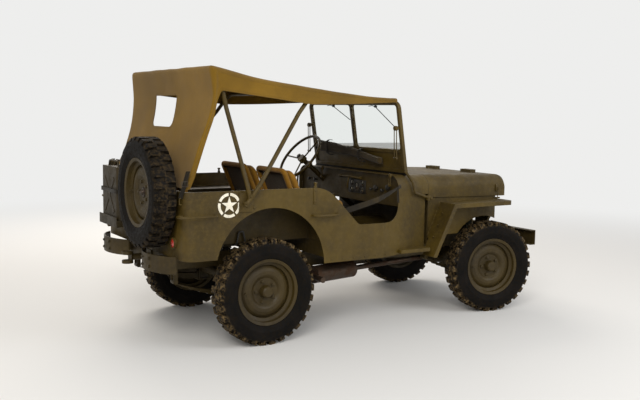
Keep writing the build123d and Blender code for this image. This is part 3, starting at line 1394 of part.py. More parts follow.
def make_grab_handles():
    solids = []
    for side in (1, -1):
        near = side * (TUB_HALF + SEAT_GAP)
        far = side * (TUB_HALF + HANDLE_REACH)
        end = side * (TUB_HALF - 50)
        bar = bent_bar(
            ((-719, near, SIDE_HANDLE_Z), (-719, far, SIDE_HANDLE_Z), (-531, far, SIDE_HANDLE_Z),
             (-531, near, SIDE_HANDLE_Z)),
            HANDLE_RADIUS, 24,
        )
        solids.append(bar)
        front = TUB_REAR + 197
        rear = TUB_REAR - 36
        z = CORNER_HANDLE_Z
        corner = bent_bar(
            ((front, near, z), (front, far, z), (rear, far, z), (rear, end, z), (TUB_REAR + 2.8, end, z)),
            HANDLE_RADIUS, [24, 50, 20],
        )
        solids.append(corner)
    return solids


STRAP_REAR_X = -475
STRAP_REAR_Z = 866
STRAP_FRONT_Z = 1013


def make_straps():
    """Flat strap from the tub's side, behind the door opening, to the cowl's rear edge."""
    wide = 38
    thick = 2.6
    rear_y = TUB_HALF - SHEET - SEAT_GAP - thick / 2
    front_y = side_half(DOOR_POST_X) - SHEET / 2
    solids = []
    for side in (1, -1):
        rear = Plane.YZ.offset(STRAP_REAR_X) * Pos(side * rear_y, STRAP_REAR_Z) * Rectangle(thick, wide)
        front = Plane.YZ.offset(DOOR_POST_X - SEAT_GAP) * Pos(side * front_y, STRAP_FRONT_Z) * Rectangle(thick, wide)
        solids.append(loft([rear, front], ruled=True))
    return solids


LEDGE_REAR_X = 41
LEDGE_FRONT_X = 314
LEDGE_INSET = 4
LEDGE_BOTTOM = 538
LEDGE_TOP = 563
LEDGE_CURVE = 0.475


def make_steps():
    """Small ledge under the tapering side, just behind the fender."""
    rear_y = -side_half(LEDGE_REAR_X) - SEAT_GAP
    front_y = -side_half(LEDGE_FRONT_X) - SEAT_GAP
    out_y = -TUB_HALF + LEDGE_INSET
    corner = LEDGE_CURVE * (rear_y - out_y)
    ledge = plan_prism(
        ((LEDGE_REAR_X, rear_y), (LEDGE_REAR_X, out_y), (LEDGE_FRONT_X, out_y), (LEDGE_FRONT_X, front_y)),
        LEDGE_BOTTOM, LEDGE_TOP, [0, corner, corner, 0],
    )
    return ledge


def main():
    os.makedirs("parts", exist_ok=True)
    write_wheels()
    write_steering_parts()
    write("frame", make_frame())
    write("front_bumper", make_front_bumper())
    write("rear_bumpers", *make_rear_bumpers())
    write("front_axle", make_front_axle())
    write("rear_axle", make_rear_axle())
    write("suspension", *make_suspension())
    write("engine", make_engine())
    write("radiator", make_radiator())
    write("drive_train", *make_drive_train())
    write("exhaust", make_exhaust())
    panel = make_side_panel()
    write("side_panel_right", panel)
    write("side_panel_left", mirrored(panel))
    write("rear_panel", make_rear_panel())
    write("floor", *make_floor())
    write("wheel_houses", *make_wheel_houses())
    write("cowl", make_cowl())
    write("bulkheads", *make_bulkheads())
    write("hood", make_hood())
    write("grille", make_grille())
    write("lamps", *make_lamps())
    fender = make_fender()
    write("front_fender_right", fender)
    write("front_fender_left", mirrored(fender))
    shield, panes = make_windshield()
    write("windshield_frame", shield)
    write("windshield_glass", *panes)
    write("mirror", make_mirror())
    write("canvas_top", make_canvas())
    write("top_bows", *make_bows())
    write("steering_wheel", make_steering_wheel())
    write("steering_column", make_column())
    rear_frame, rear_pads = make_rear_seat()
    write("seat_frames", seat_tubes(SEAT_Y, SEAT_HALF), rear_frame, *seat_ears(-SEAT_Y, SEAT_HALF))
    write("seat_cushions", *seat_pads(SEAT_Y, SEAT_HALF), *rear_pads)
    write("passenger_seat_frame", seat_tubes(-SEAT_Y, SEAT_HALF, tips=True))
    write("passenger_seat_cushions", *seat_pads(-SEAT_Y, SEAT_HALF))
    write("fuel_tank", make_fuel_tank())
    write("controls", *make_controls())
    write("rear_carriers", *make_rear_carriers())
    write("jerry_can", make_jerry_can())
    write("spare_tyre", Pos(SPARE_X, SPARE_Y, SPARE_Z) * Rot(0, 0, 90) * TYRE)
    write("spare_rim", Pos(SPARE_X, SPARE_Y, SPARE_Z) * Rot(0, 0, 90) * SPARE_WHEEL)
    write("grab_handles", *make_grab_handles())
    write("safety_straps", *make_straps())
    step = make_steps()
    write("side_steps", step, mirrored(step))


main()
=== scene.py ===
import math

import bpy
from mathutils import Matrix, Vector


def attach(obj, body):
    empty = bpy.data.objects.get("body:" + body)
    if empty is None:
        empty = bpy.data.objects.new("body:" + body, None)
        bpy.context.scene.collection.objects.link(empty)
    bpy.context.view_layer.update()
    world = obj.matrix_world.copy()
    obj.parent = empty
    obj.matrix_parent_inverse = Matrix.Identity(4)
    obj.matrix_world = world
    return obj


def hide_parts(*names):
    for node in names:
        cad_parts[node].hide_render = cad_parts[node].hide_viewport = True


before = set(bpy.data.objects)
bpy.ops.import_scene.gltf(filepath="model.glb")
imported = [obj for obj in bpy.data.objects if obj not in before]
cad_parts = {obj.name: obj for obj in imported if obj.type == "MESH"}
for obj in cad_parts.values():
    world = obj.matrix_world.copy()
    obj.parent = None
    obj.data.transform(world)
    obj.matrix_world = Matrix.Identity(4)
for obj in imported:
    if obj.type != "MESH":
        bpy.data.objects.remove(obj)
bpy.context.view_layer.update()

# Row frame: +X forward, +Y the vehicle's left, +Z up, metres, ground at Z 0.
SHIFT = 0.1325
CAMERA_AT = (-3.4675, -5.391, 1.537)
CAMERA_TURN = (32.2825, -6.0209, 0.9432)  # yaw, pitch and roll in degrees
CAMERA_LENS = 46.696
CAMERA_SENSOR = 36
PALE = (0.90, 0.90, 0.89)
PALE_STRENGTH = 0.95
FILL = (0.90, 0.89, 0.88)
FILL_STRENGTH = 0.55
FLOOR_SIZE = 60
FLOOR_COLOUR = (0.76, 0.755, 0.74)
FLOOR_FADE = (3.2, 9.0)  # metres from the origin
LIGHTS = (
    # place, target, size, power, colour
    ((-5.5, -6.5, 5.5), (0, 0, 0.8), 4.5, 520, (1.0, 0.97, 0.92)),
    ((3.5, -6.0, 4.0), (0.3, 0, 0.8), 4.0, 190, (0.95, 0.97, 1.0)),
    ((1.0, 6.0, 5.0), (0, 0, 1.0), 5.0, 300, (1.0, 0.93, 0.84)),
)


# Nodes

def feed(tree, socket, value):
    """Links another node's output to the socket, or sets it to a plain value."""
    if isinstance(value, bpy.types.NodeSocket):
        tree.links.new(value, socket)
    elif socket.type == "RGBA":
        socket.default_value = (*value, 1)
    else:
        socket.default_value = value


def add_node(tree, kind, inputs=None, **settings):
    """Node with its settings made and its inputs fed by name or number."""
    node = tree.nodes.new("ShaderNode" + kind)
    for name, value in settings.items():
        setattr(node, name, value)
    for name, value in (inputs or {}).items():
        feed(tree, node.inputs[name], value)
    return node


# Camera, floor and light

def add_camera():
    yaw, pitch, roll = (math.radians(a) for a in CAMERA_TURN)
    look = Vector((math.sin(yaw) * math.cos(pitch), math.cos(yaw) * math.cos(pitch), math.sin(pitch)))
    right = Vector((math.cos(yaw), -math.sin(yaw), 0))
    up = right.cross(look)
    across = math.cos(roll) * right + math.sin(roll) * up
    upright = math.cos(roll) * up - math.sin(roll) * right
    turn = Matrix((across, upright, -look)).transposed().to_4x4()
    bpy.ops.object.camera_add()
    camera = bpy.context.object
    camera.matrix_world = Matrix.Translation(CAMERA_AT) @ turn
    camera.data.lens = CAMERA_LENS
    camera.data.sensor_width = CAMERA_SENSOR
    camera.data.clip_end = 200
    bpy.context.scene.camera = camera


def add_lights():
    for place, target, size, power, colour in LIGHTS:
        bpy.ops.object.light_add(type="AREA", location=place)
        lamp = bpy.context.object
        lamp.rotation_euler = (Vector(target) - Vector(place)).to_track_quat("-Z", "Y").to_euler()
        lamp.data.size = size
        lamp.data.energy = power
        lamp.data.color = colour


def set_world():
    """Soft light all round; the camera sees plain pale, also through glass and in gloss."""
    world = bpy.data.worlds.new("studio")
    bpy.context.scene.world = world
    world.use_nodes = True
    tree = world.node_tree
    tree.nodes.clear()
    rays = add_node(tree, "LightPath").outputs
    seen = rays["Is Camera Ray"]
    for kind in ("Is Transmission Ray", "Is Glossy Ray"):
        seen = add_node(tree, "Math", {0: seen, 1: rays[kind]}, operation="MAXIMUM").outputs[0]
    fill = add_node(tree, "Background", {"Color": FILL, "Strength": FILL_STRENGTH}).outputs[0]
    pale = add_node(tree, "Background", {"Color": PALE, "Strength": PALE_STRENGTH}).outputs[0]
    mixed = add_node(tree, "MixShader", {0: seen, 1: fill, 2: pale}).outputs[0]
    add_node(tree, "OutputWorld", {"Surface": mixed})


def add_floor():
    """Pale floor that fades into the background before the camera."""
    bpy.ops.mesh.primitive_plane_add(size=FLOOR_SIZE)
    floor = bpy.context.object
    floor.name = "studio_floor"
    f = Finish("pale_floor", roughness=0.85, specular=0.5)
    f.colour(FLOOR_COLOUR)
    away = f.node("VectorMath", {0: f.place}, operation="LENGTH").outputs["Value"]
    seen = f.times(f.ramp(away, *FLOOR_FADE), f.node("LightPath").outputs["Is Camera Ray"])
    pale = f.node("Emission", {"Color": PALE, "Strength": PALE_STRENGTH}).outputs[0]
    shown = f.node("MixShader", {0: seen, 1: f.shader.outputs[0], 2: pale}).outputs[0]
    feed(f.tree, f.tree.nodes["Material Output"].inputs["Surface"], shown)
    floor.data.materials.append(f.material)


# Finishes. Each is a node tree on Object coordinates, so a pattern stays put on the car.

MIX_FROM, MIX_TO, MIX_RESULT = 6, 7, 2  # the colour sockets of a Mix node


class Finish:
    """Small helper that lays down the nodes of one material."""

    def __init__(self, name, roughness, specular, metallic=0.0):
        self.material = bpy.data.materials.new(name)
        self.material.use_nodes = True
        self.tree = self.material.node_tree
        self.shader = self.tree.nodes["Principled BSDF"]
        self.set("Roughness", roughness)
        self.set("Metallic", metallic)
        self.set("Specular IOR Level", specular)
        self.place = self.node("TexCoord").outputs["Object"]
        self.normal = None

    def node(self, kind, inputs=None, **settings):
        return add_node(self.tree, kind, inputs, **settings)

    def set(self, socket, value):
        feed(self.tree, self.shader.inputs[socket], value)

    def noise(self, scale, detail, roughness, source=None):
        return self.node("TexNoise", {
            "Scale": scale, "Detail": detail, "Roughness": roughness, "Vector": source or self.place,
        }).outputs["Fac"]

    def ramp(self, value, low, high):
        """0 below low and 1 above high."""
        return self.node("MapRange", {"Value": value, "From Min": low, "From Max": high},
                         interpolation_type="SMOOTHSTEP").outputs["Result"]

    def spots(self, scale, detail, roughness, low, high):
        """Noise as patches: 0 below low and 1 above high."""
        return self.ramp(self.noise(scale, detail, roughness), low, high)

    def wave(self, source, scale, way, **inputs):
        inputs |= {"Vector": source, "Scale": scale}
        return self.node("TexWave", inputs, bands_direction=way).outputs["Fac"]

    def math(self, kind, a, b):
        return self.node("Math", {0: a, 1: b}, operation=kind).outputs[0]

    def times(self, a, b):
        return self.math("MULTIPLY", a, b)

    def mix(self, share, a, b):
        return self.node("Mix", {0: share, MIX_FROM: a, MIX_TO: b}, data_type="RGBA").outputs[MIX_RESULT]

    def upward(self, source):
        """How far a place or a direction goes up."""
        return self.node("SeparateXYZ", {0: source}).outputs["Z"]

    def facing(self):
        return self.node("NewGeometry").outputs["Normal"]

    def colour(self, value):
        self.set("Base Color", value)

    def rough(self, value, low, high):
        """Roughness from low to high as value goes from 0 to 1."""
        reach = self.node("MapRange", {"Value": value, "To Min": low, "To Max": high})
        self.set("Roughness", reach.outputs["Result"])

    def bend(self, normal):
        self.normal = normal
        self.set("Normal", normal)

    def bump(self, value, distance, strength):
        inputs = {"Height": value, "Distance": distance, "Strength": strength}
        if self.normal is not None:
            inputs["Normal"] = self.normal
        self.bend(self.node("Bump", inputs).outputs["Normal"])

    def soft_edges(self, radius):
        """Rounds the look of sheet-metal edges before any bump, and gives the mask of those edges."""
        self.bend(self.node("Bevel", {"Radius": radius}, samples=6).outputs["Normal"])
        match = self.node("VectorMath", {0: self.normal, 1: self.facing()}, operation="DOT_PRODUCT")
        return self.ramp(self.math("SUBTRACT", 1.0, match.outputs["Value"]), 0.02, 0.22)


def srgb(red, green, blue):
    """Linear colour from the 0 to 255 numbers that a screen shows."""
    out = []
    for value in (red, green, blue):
        share = value / 255
        out.append(share / 12.92 if share <= 0.04045 else ((share + 0.055) / 1.055) ** 2.4)
    return tuple(out)


OLIVE = srgb(76, 60, 13)
OLIVE_LIGHT = srgb(92, 74, 23)
OLIVE_DARK = srgb(53, 41, 9)
# near-black of the painted shade that olive_paint mixes into darkened copies of the coat
PAINTED_SHADE = (0.004, 0.003, 0.002)
DUST = srgb(100, 80, 36)
TREAD_SAND = srgb(118, 98, 66)
RUST = srgb(92, 58, 34)
TREAD_RADIUS = (0.325, 0.352)
STREAKS = (9, 9, 1.1)


def olive_paint(name, dust, grime=0.3, edge=0.003, shade=0.0):
    """Matt drab enamel: uneven coat, dust that settles on top faces and low down, worn edges, and painted
    shade that darkens the whole coat by the share shade.
    """
    f = Finish(name, roughness=0.6, specular=0.28)
    worn = f.soft_edges(edge)
    coat = f.mix(f.spots(2.1, 5, 0.6, 0.34, 0.68), OLIVE_DARK, OLIVE)
    coat = f.mix(f.times(f.spots(38, 4, 0.65, 0.42, 0.7), 0.3), coat, OLIVE_LIGHT)
    stretched = f.node("Mapping", {"Vector": f.place, "Scale": STREAKS}).outputs["Vector"]
    streak = f.ramp(f.noise(1.0, 4, 0.6, stretched), 0.5, 0.74)
    coat = f.mix(f.times(streak, 0.34 * grime / 0.3), coat, OLIVE_DARK)
    low = f.math("SUBTRACT", 1.0, f.ramp(f.upward(f.place), 0.25, 0.85))
    top = f.times(f.ramp(f.upward(f.facing()), 0.55, 0.98), 0.75)
    patch = f.spots(7.5, 6, 0.62, 0.38, 0.72)
    film = f.times(f.math("MAXIMUM", f.times(low, patch), f.times(top, patch)), dust)
    coat = f.mix(film, coat, DUST)
    chips = f.times(worn, f.spots(60, 3, 0.6, 0.46, 0.62))
    coat = f.mix(f.times(chips, 0.55), coat, OLIVE_LIGHT)
    # painted shade: the coat is mixed towards near-black by the share shade, for parts that sit in shade
    f.colour(f.mix(shade, coat, PAINTED_SHADE))
    f.rough(f.spots(16, 4, 0.6, 0.3, 0.7), 0.47, 0.68)
    f.bump(f.noise(240, 3, 0.5), 0.0004, 0.35)
    f.bump(f.noise(5, 3, 0.5), 0.004, 0.25)
    return f.material


def rubber(name, centre, sand):
    """Black rubber, with sand worked into the tread round the centre."""
    f = Finish(name, roughness=0.85, specular=0.08)
    base = f.mix(f.spots(9, 5, 0.6, 0.35, 0.7), srgb(8, 7, 6), srgb(17, 14, 12))
    away = f.node("VectorMath", {0: f.place, 1: centre}, operation="DISTANCE").outputs["Value"]
    grit = f.spots(55, 5, 0.7, 0.42, 0.66)
    share = f.math("ADD", f.times(f.ramp(away, *TREAD_RADIUS), sand), 0.03)
    f.colour(f.mix(f.times(grit, share), base, TREAD_SAND))
    f.rough(grit, 0.6, 0.9)
    f.bump(f.noise(180, 4, 0.6), 0.0008, 0.5)
    return f.material


def cloth(name, light, dark, pitch=0.0016, dust=0.25, uv=True, folds=0.001):
    """Coarse cotton duck: weave, uneven dye, faded high spots and dust."""
    f = Finish(name, roughness=0.92, specular=0.1)
    f.set("Sheen Weight", 0.1)
    f.set("Sheen Roughness", 0.6)
    light, dark = srgb(*light), srgb(*dark)
    source = f.node("TexCoord").outputs["UV"] if uv else f.place
    thread = f.times(*(f.wave(source, 0.5 / pitch / math.pi, way, Distortion=0.6, Detail=2) for way in "XY"))
    cloud = f.noise(1.7, 6, 0.6)
    dye = f.mix(f.ramp(cloud, 0.3, 0.7), dark, light)
    dye = f.mix(f.times(f.spots(24, 5, 0.7, 0.4, 0.75), 0.28), dye, dark)
    dye = f.mix(f.times(thread, 0.22), dye, light)
    f.colour(f.mix(f.times(f.spots(4.2, 5, 0.65, 0.42, 0.75), dust), dye, DUST))
    f.rough(cloud, 0.84, 0.97)
    f.bump(f.noise(6.5, 4, 0.55), folds, 0.55)
    f.bump(f.noise(70, 4, 0.6), 0.0006, 0.4)
    f.bump(thread, 0.0005, 0.7)
    return f.material


def bare_steel(name, colour, rough, rust):
    """Dull metal, rougher and browner where it rusts."""
    f = Finish(name, rough, 0.5, metallic=0.9)
    patches = f.spots(14, 6, 0.7, 0.42, 0.68)
    f.colour(f.mix(f.times(patches, rust), srgb(*colour), RUST))
    f.rough(patches, rough, rough + 0.35)
    f.bump(f.noise(130, 4, 0.6), 0.0005, 0.4)
    return f.material


def pane(name):
    """Clear sheet glass with a faint smear."""
    f = Finish(name, roughness=0.03, specular=0.5)
    f.set("Transmission Weight", 1)
    f.set("IOR", 1.05)
    f.colour((0.93, 0.96, 0.95))
    f.rough(f.spots(3.5, 5, 0.7, 0.45, 0.8), 0.02, 0.09)
    return f.material


def emblem_paint(name):
    """Thin matt white paint, dulled and worn through in places."""
    f = Finish(name, roughness=0.75, specular=0.25)
    base = f.mix(f.spots(22, 5, 0.6, 0.35, 0.7), srgb(214, 208, 190), srgb(233, 228, 212))
    f.colour(f.mix(f.times(f.spots(70, 5, 0.7, 0.58, 0.72), 0.5), base, srgb(140, 126, 92)))
    f.bump(f.noise(160, 3, 0.5), 0.0003, 0.4)
    return f.material


def lens(name, colour):
    """Thick pressed glass, fluted and slightly dusty."""
    f = Finish(name, roughness=0.12, specular=0.6)
    f.set("Coat Weight", 0.6)
    f.colour(f.mix(f.times(f.spots(18, 5, 0.7, 0.45, 0.75), 0.35), colour, DUST))
    f.rough(f.noise(26, 4, 0.6), 0.08, 0.34)
    f.bump(f.wave(f.place, 30, "Y"), 0.002, 0.8)
    return f.material


def dial(name):
    """Black instrument face under glass."""
    f = Finish(name, roughness=0.2, specular=0.5)
    f.set("Coat Weight", 0.7)
    f.colour(f.mix(f.spots(40, 4, 0.6, 0.5, 0.8), srgb(20, 19, 17), srgb(58, 54, 44)))
    return f.material


def olive_black(name):
    """Black enamel on small fittings, rubbed grey on its high spots."""
    f = Finish(name, roughness=0.45, specular=0.45)
    worn = f.soft_edges(0.002)
    base = f.mix(f.spots(20, 5, 0.6, 0.4, 0.7), srgb(24, 23, 20), srgb(42, 38, 30))
    f.colour(f.mix(f.times(worn, 0.5), base, srgb(96, 84, 62)))
    f.rough(f.noise(30, 4, 0.6), 0.35, 0.65)
    return f.material


FINISHES = {
    "body": olive_paint("body_enamel", 0.2, edge=0.004),
    "hood": olive_paint("hood_enamel", 0.35, grime=0.2, edge=0.004),
    # shade paints shade into these copies of the enamel: the chassis, wheels, parts inside and under the
    # body, bumpers and can are darkened for the shade that falls on them
    "chassis": olive_paint("chassis_enamel", 0.35, grime=0.8, shade=0.5),
    "wheel": olive_paint("wheel_enamel", 0.16, grime=0.4, shade=0.5),
    "inside": olive_paint("inside_enamel", 0.15, grime=0.5, shade=0.4),
    "can": olive_paint("can_enamel", 0.12, grime=0.35, shade=0.62),
    "engine": bare_steel("engine_grey", (74, 78, 66), 0.55, 0.25),
    "exhaust": bare_steel("exhaust_steel", (72, 60, 50), 0.5, 0.45),
    "iron": bare_steel("worn_iron", (70, 66, 60), 0.42, 0.4),
    "seal": rubber("seal_rubber", (0, 0, 0), 0.0),
    "canvas": cloth("roof_canvas", (123, 92, 20), (97, 72, 15), dust=0.06, folds=0.004),
    "hem": cloth("canvas_hem", (117, 88, 20), (92, 68, 16), dust=0.06),
    "seat": cloth("seat_duck", (144, 102, 27), (110, 78, 21), pitch=0.002, uv=False, folds=0.002),
    # the seat backs' rear panel: the seat's duck darkened as painted shade
    "shaded_duck": cloth("back_panel_shaded_duck", (62, 45, 15), (46, 33, 11), folds=0.002),
    "cover": cloth("cover_roll_duck", (58, 48, 30), (40, 33, 20), uv=False, folds=0.006),
    "web": cloth("strap_webbing", (30, 24, 12), (20, 16, 8), pitch=0.0022, uv=False),
    "glass": pane("window_glass"),
    "star": emblem_paint("star_white"),
    "lens": lens("clear_lens", srgb(176, 174, 162)),
    "red_lens": lens("red_lens", (0.42, 0.02, 0.015)),
    "dial": dial("dial_face"),
    "black": olive_black("black_enamel"),
}
NODE_FINISH = {
    # finish: CAD nodes that have it; the rest have the body's
    "hood": ("hood",),
    "chassis": ("frame", "front_axle", "rear_axle", "suspension", "drive_train", "tie_rod",
                "knuckle_left", "knuckle_right"),
    "engine": ("engine", "radiator"),
    "exhaust": ("exhaust",),
    "inside": ("floor", "wheel_houses", "bulkheads", "controls", "fuel_tank", "seat_frames",
               "passenger_seat_frame", "steering_column", "front_bumper", "rear_bumpers"),
    "wheel": ("spare_rim", "rim_front_left", "rim_front_right", "rim_rear_left", "rim_rear_right"),
    "can": ("jerry_can", "rear_carriers"),
    "canvas": ("canvas_top",),
    "seat": ("seat_cushions", "passenger_seat_cushions"),
    "web": ("safety_straps",),
    "glass": ("windshield_glass",),
}
TYRES = {
    # node: centre of the wheel, share of sand on its tread
    "tyre_front_left": ((1.1691, 0.6206, 0.355), 0.75),
    "tyre_front_right": ((1.1279, -0.6206, 0.355), 0.75),
    "tyre_rear_left": ((-0.8835, 0.6225, 0.355), 0.75),
    "tyre_rear_right": ((-0.8835, -0.6225, 0.355), 0.75),
    "spare_tyre": ((-1.5895, -0.335, 1.012), 0.16),
}


def paint_nodes():
    chosen = {node: finish for finish, nodes in NODE_FINISH.items() for node in nodes}
    for node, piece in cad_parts.items():
        piece.data.materials.clear()
        if node in TYRES:
            piece.data.materials.append(rubber(f"rubber_{node}", *TYRES[node]))
        else:
            piece.data.materials.append(FINISHES[chosen.get(node, "body")])


# Small modelling helpers. Tables are in millimetres, X measured from midway between the axles.

def at(x, y, z):
    """Point of the scene from the car's own millimetres."""
    return Vector((x / 1000 + SHIFT, y / 1000, z / 1000))


DOUBLES = 1e-5  # metres


def clear():
    if bpy.context.object and bpy.context.object.mode != "OBJECT":
        bpy.ops.object.mode_set(mode="OBJECT")
    bpy.ops.object.select_all(action="DESELECT")


def pick(*pieces):
    """Selects these pieces alone, the last one active."""
    clear()
    for piece in pieces:
        piece.select_set(True)
    bpy.context.view_layer.objects.active = pieces[-1]


def whole(action, **how):
    """Runs one edit-mode operator on all of the active piece."""
    bpy.ops.object.mode_set(mode="EDIT")
    bpy.ops.mesh.select_all(action="SELECT")
    action(**how)
    bpy.ops.object.mode_set(mode="OBJECT")


def turn_out():
    whole(bpy.ops.mesh.normals_make_consistent, inside=False)


def face_away(cloth_piece, centre):
    """Turns an open sheet's faces away from a point of the car."""
    turn_out()
    middle = cloth_piece.data.polygons[len(cloth_piece.data.polygons) // 2]
    if middle.normal.dot(middle.center - at(*centre)) < 0:
        whole(bpy.ops.mesh.flip_normals)


def bevel_edges(piece, chosen, radius, steps):
    """Rounds the edges for which chosen(a, b) holds, a and b being their ends."""
    bpy.context.tool_settings.mesh_select_mode = (False, True, False)
    points = piece.data.vertices
    for group in (points, piece.data.edges, piece.data.polygons):
        for element in group:
            element.select = False
    for edge in piece.data.edges:
        edge.select = chosen(*(points[i].co for i in edge.vertices))
    bpy.ops.object.mode_set(mode="EDIT")
    bpy.ops.mesh.bevel(offset=radius / 1000, segments=steps, affect="EDGES")
    bpy.ops.object.mode_set(mode="OBJECT")
    bpy.context.tool_settings.mesh_select_mode = (True, False, False)


def modifier(piece, kind, **settings):
    """Adds a modifier, sets it and applies it at once."""
    pick(piece)
    added = piece.modifiers.new(kind.lower(), kind)
    for name, value in settings.items():
        setattr(added, name, value)
    bpy.ops.object.modifier_apply(modifier=added.name)


def done(piece, name, finish, body="chassis", smooth=35):
    """Puts the piece's place in its mesh, then gives it a name, a finish and the body it rides on."""
    pick(piece)
    bpy.ops.object.transform_apply(location=True, rotation=True, scale=True)
    bpy.ops.object.shade_smooth_by_angle(angle=math.radians(smooth))
    piece.name = name
    piece.data.name = name
    piece.data.materials.clear()
    piece.data.materials.append(FINISHES[finish])
    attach(piece, body)
    return piece


def joined(pieces):
    pick(*pieces)
    if len(pieces) > 1:
        bpy.ops.object.join()
    return bpy.context.object


def copy_of(piece, matrix):
    """Copy with its own mesh, moved by a matrix."""
    twin = piece.copy()
    twin.data = piece.data.copy()
    bpy.context.collection.objects.link(twin)
    twin.data.transform(matrix)
    if matrix.determinant() < 0:
        pick(twin)
        whole(bpy.ops.mesh.flip_normals)
    return twin


def block(low, high, edge=1.0, steps=2):
    """Block between two corners with rounded edges."""
    low, high = at(*low), at(*high)
    clear()
    bpy.ops.mesh.primitive_cube_add(size=1, location=(low + high) / 2)
    piece = bpy.context.object
    piece.scale = [abs(span) for span in high - low]
    bpy.ops.object.transform_apply(location=True, rotation=True, scale=True)
    whole(bpy.ops.mesh.bevel, offset=edge / 1000, segments=steps, affect="EDGES")
    return piece


def spun(profile, centre, toward, sides=32):
    """Solid turned about a line from centre along toward, from (radius, distance) points."""
    clear()
    bpy.ops.mesh.primitive_plane_add(size=0.01)
    piece = bpy.context.object
    bpy.ops.object.mode_set(mode="EDIT")
    bpy.ops.mesh.select_all(action="SELECT")
    bpy.ops.mesh.merge(type="CENTER")
    bpy.ops.transform.translate(value=Vector((profile[0][0], 0, profile[0][1])) / 1000)
    for (r0, d0), (r1, d1) in zip(profile, profile[1:]):
        step = Vector((r1 - r0, 0, d1 - d0)) / 1000
        bpy.ops.mesh.extrude_vertices_move(TRANSFORM_OT_translate={"value": step})
    bpy.ops.object.mode_set(mode="OBJECT")
    whole(bpy.ops.mesh.spin, steps=sides, angle=math.tau, center=(0, 0, 0), axis=(0, 0, 1))
    whole(bpy.ops.mesh.remove_doubles, threshold=DOUBLES)
    turn_out()
    aim = Vector(toward).to_track_quat("Z", "Y").to_matrix().to_4x4()
    piece.data.transform(Matrix.Translation(at(*centre)) @ aim)
    return piece


def bolt(centre, toward, across, high):
    """Six-sided bolt head with a chamfered top on a thin washer."""
    rim, corner, top = 0.72 * across, 0.56 * across, 0.46 * across
    washer = spun([(0, 0), (rim, 0), (rim, 1.4), (0, 1.4)], centre, toward, 16)
    head = spun([(0, 1), (corner, 1), (corner, high - 1), (top, high), (0, high)], centre, toward, 6)
    return joined([washer, head])


def rod(points, radius, bend=0.0):
    """Round rod through points, rounded at its corners over the length bend, capped at both ends."""
    marks = [at(*points[0])]
    for before, corner, after in zip(points, points[1:], points[2:]):
        corner = at(*corner)
        start, end = ((at(*other) - corner).normalized() * bend / 1000 for other in (before, after))
        marks += [corner + start, corner, corner + end]
    marks.append(at(*points[-1]))
    curve = bpy.data.curves.new("rod", "CURVE")
    curve.dimensions = "3D"
    curve.bevel_depth = radius / 1000
    curve.bevel_resolution = 4
    curve.use_fill_caps = True
    curve.resolution_u = 6
    line = curve.splines.new("NURBS")
    line.points.add(len(marks) - 1)
    for point, mark in zip(line.points, marks):
        point.co = (*mark, 1)
    line.order_u = min(3, len(marks))
    line.use_endpoint_u = True
    piece = bpy.data.objects.new("rod", curve)
    bpy.context.collection.objects.link(piece)
    pick(piece)
    bpy.ops.object.convert(target="MESH")
    piece = bpy.context.object
    whole(bpy.ops.mesh.remove_doubles, threshold=DOUBLES / 10)
    turn_out()
    return piece


def laid_grid(across, along, shape, size):
    """Grid of cloth whose points lie where shape(u, v) says; its UV map is in metres."""
    clear()
    bpy.ops.mesh.primitive_grid_add(x_subdivisions=across, y_subdivisions=along, size=1)
    piece = bpy.context.object
    for point in piece.data.vertices:
        point.co = shape(point.co.x + 0.5, point.co.y + 0.5)
    for corner in piece.data.uv_layers[0].data:
        corner.uv = (corner.uv[0] * size[0], corner.uv[1] * size[1])
    return piece


def smooth_rows(rows, steps):
    """Denser rows on a smooth curve through the given ones."""
    out = []
    for index in range(len(rows) - 1):
        before = rows[max(index - 1, 0)]
        start, end = rows[index], rows[index + 1]
        after = rows[min(index + 2, len(rows) - 1)]
        for step in range(steps):
            t = step / steps
            out.append(tuple(
                b + (c - a) * t / 2 + (a - 2.5 * b + 2 * c - d / 2) * t ** 2
                + (1.5 * (b - c) - (a - d) / 2) * t ** 3
                for a, b, c, d in zip(before, start, end, after)
            ))
    out.append(rows[-1])
    return out


# Canvas top: one sheet from the windshield over both bows and down to the tub's rear edge

CANVAS_ROWS = (
    # x, z, half width, corner radius, edge x, edge z, edge half width, sag at the middle
    (62, 1646, 612, 20, 62, 1618, 614, 0),
    (-60, 1649, 621, 22, -60, 1612, 624, 3),
    (-197, 1655, 631, 24, -197, 1605, 635, 6),
    (-373, 1670, 645, 26, -373, 1597, 650, 9),
    (-489, 1680, 654, 28, -489, 1593, 659, 7),
    (-620, 1694, 664, 30, -620, 1590, 669, 2),
    (-709, 1703, 671, 32, -709, 1591, 675, 1),
    (-819, 1716, 679, 34, -817, 1602, 683, 4),
    (-970, 1732, 690, 36, -960, 1618, 694, 9),
    (-1128, 1754, 702, 38, -1112, 1634, 705, 9),
    (-1270, 1783, 712, 40, -1246, 1648, 713, 5),
    (-1350, 1800, 716, 42, -1326, 1657, 716, 1),
    (-1408, 1811, 717, 42, -1360, 1660, 716, 0),
    (-1430, 1813, 717, 42, -1368, 1659, 716, 0),
    (-1441, 1806, 717, 42, -1372, 1657, 715, 0),
    (-1445, 1793, 718, 40, -1375, 1654, 715, 0),
    (-1443, 1768, 719, 34, -1378, 1649, 715, 1),
    (-1436, 1715, 721, 26, -1383, 1640, 715, 3),
    (-1430, 1655, 720, 18, -1391, 1620, 713, 4),
    (-1430, 1600, 714, 14, -1400, 1588, 709, 4),
    (-1445, 1500, 692, 12, -1411, 1496, 688, 4),
    (-1471, 1400, 666, 10, -1436, 1398, 664, 3),
    (-1500, 1310, 657, 10, -1464, 1309, 656, 3),
    (-1531, 1220, 660, 10, -1495, 1220, 660, 3),
    (-1568, 1132, 677, 10, -1532, 1131, 677, 2),
    (-1604, 1058, 700, 10, -1576, 1056, 700, 0),
)
CANVAS_WIDE = 1.70  # flat, in metres
CANVAS_LONG = 2.30
FLAP_SHARE = 0.09
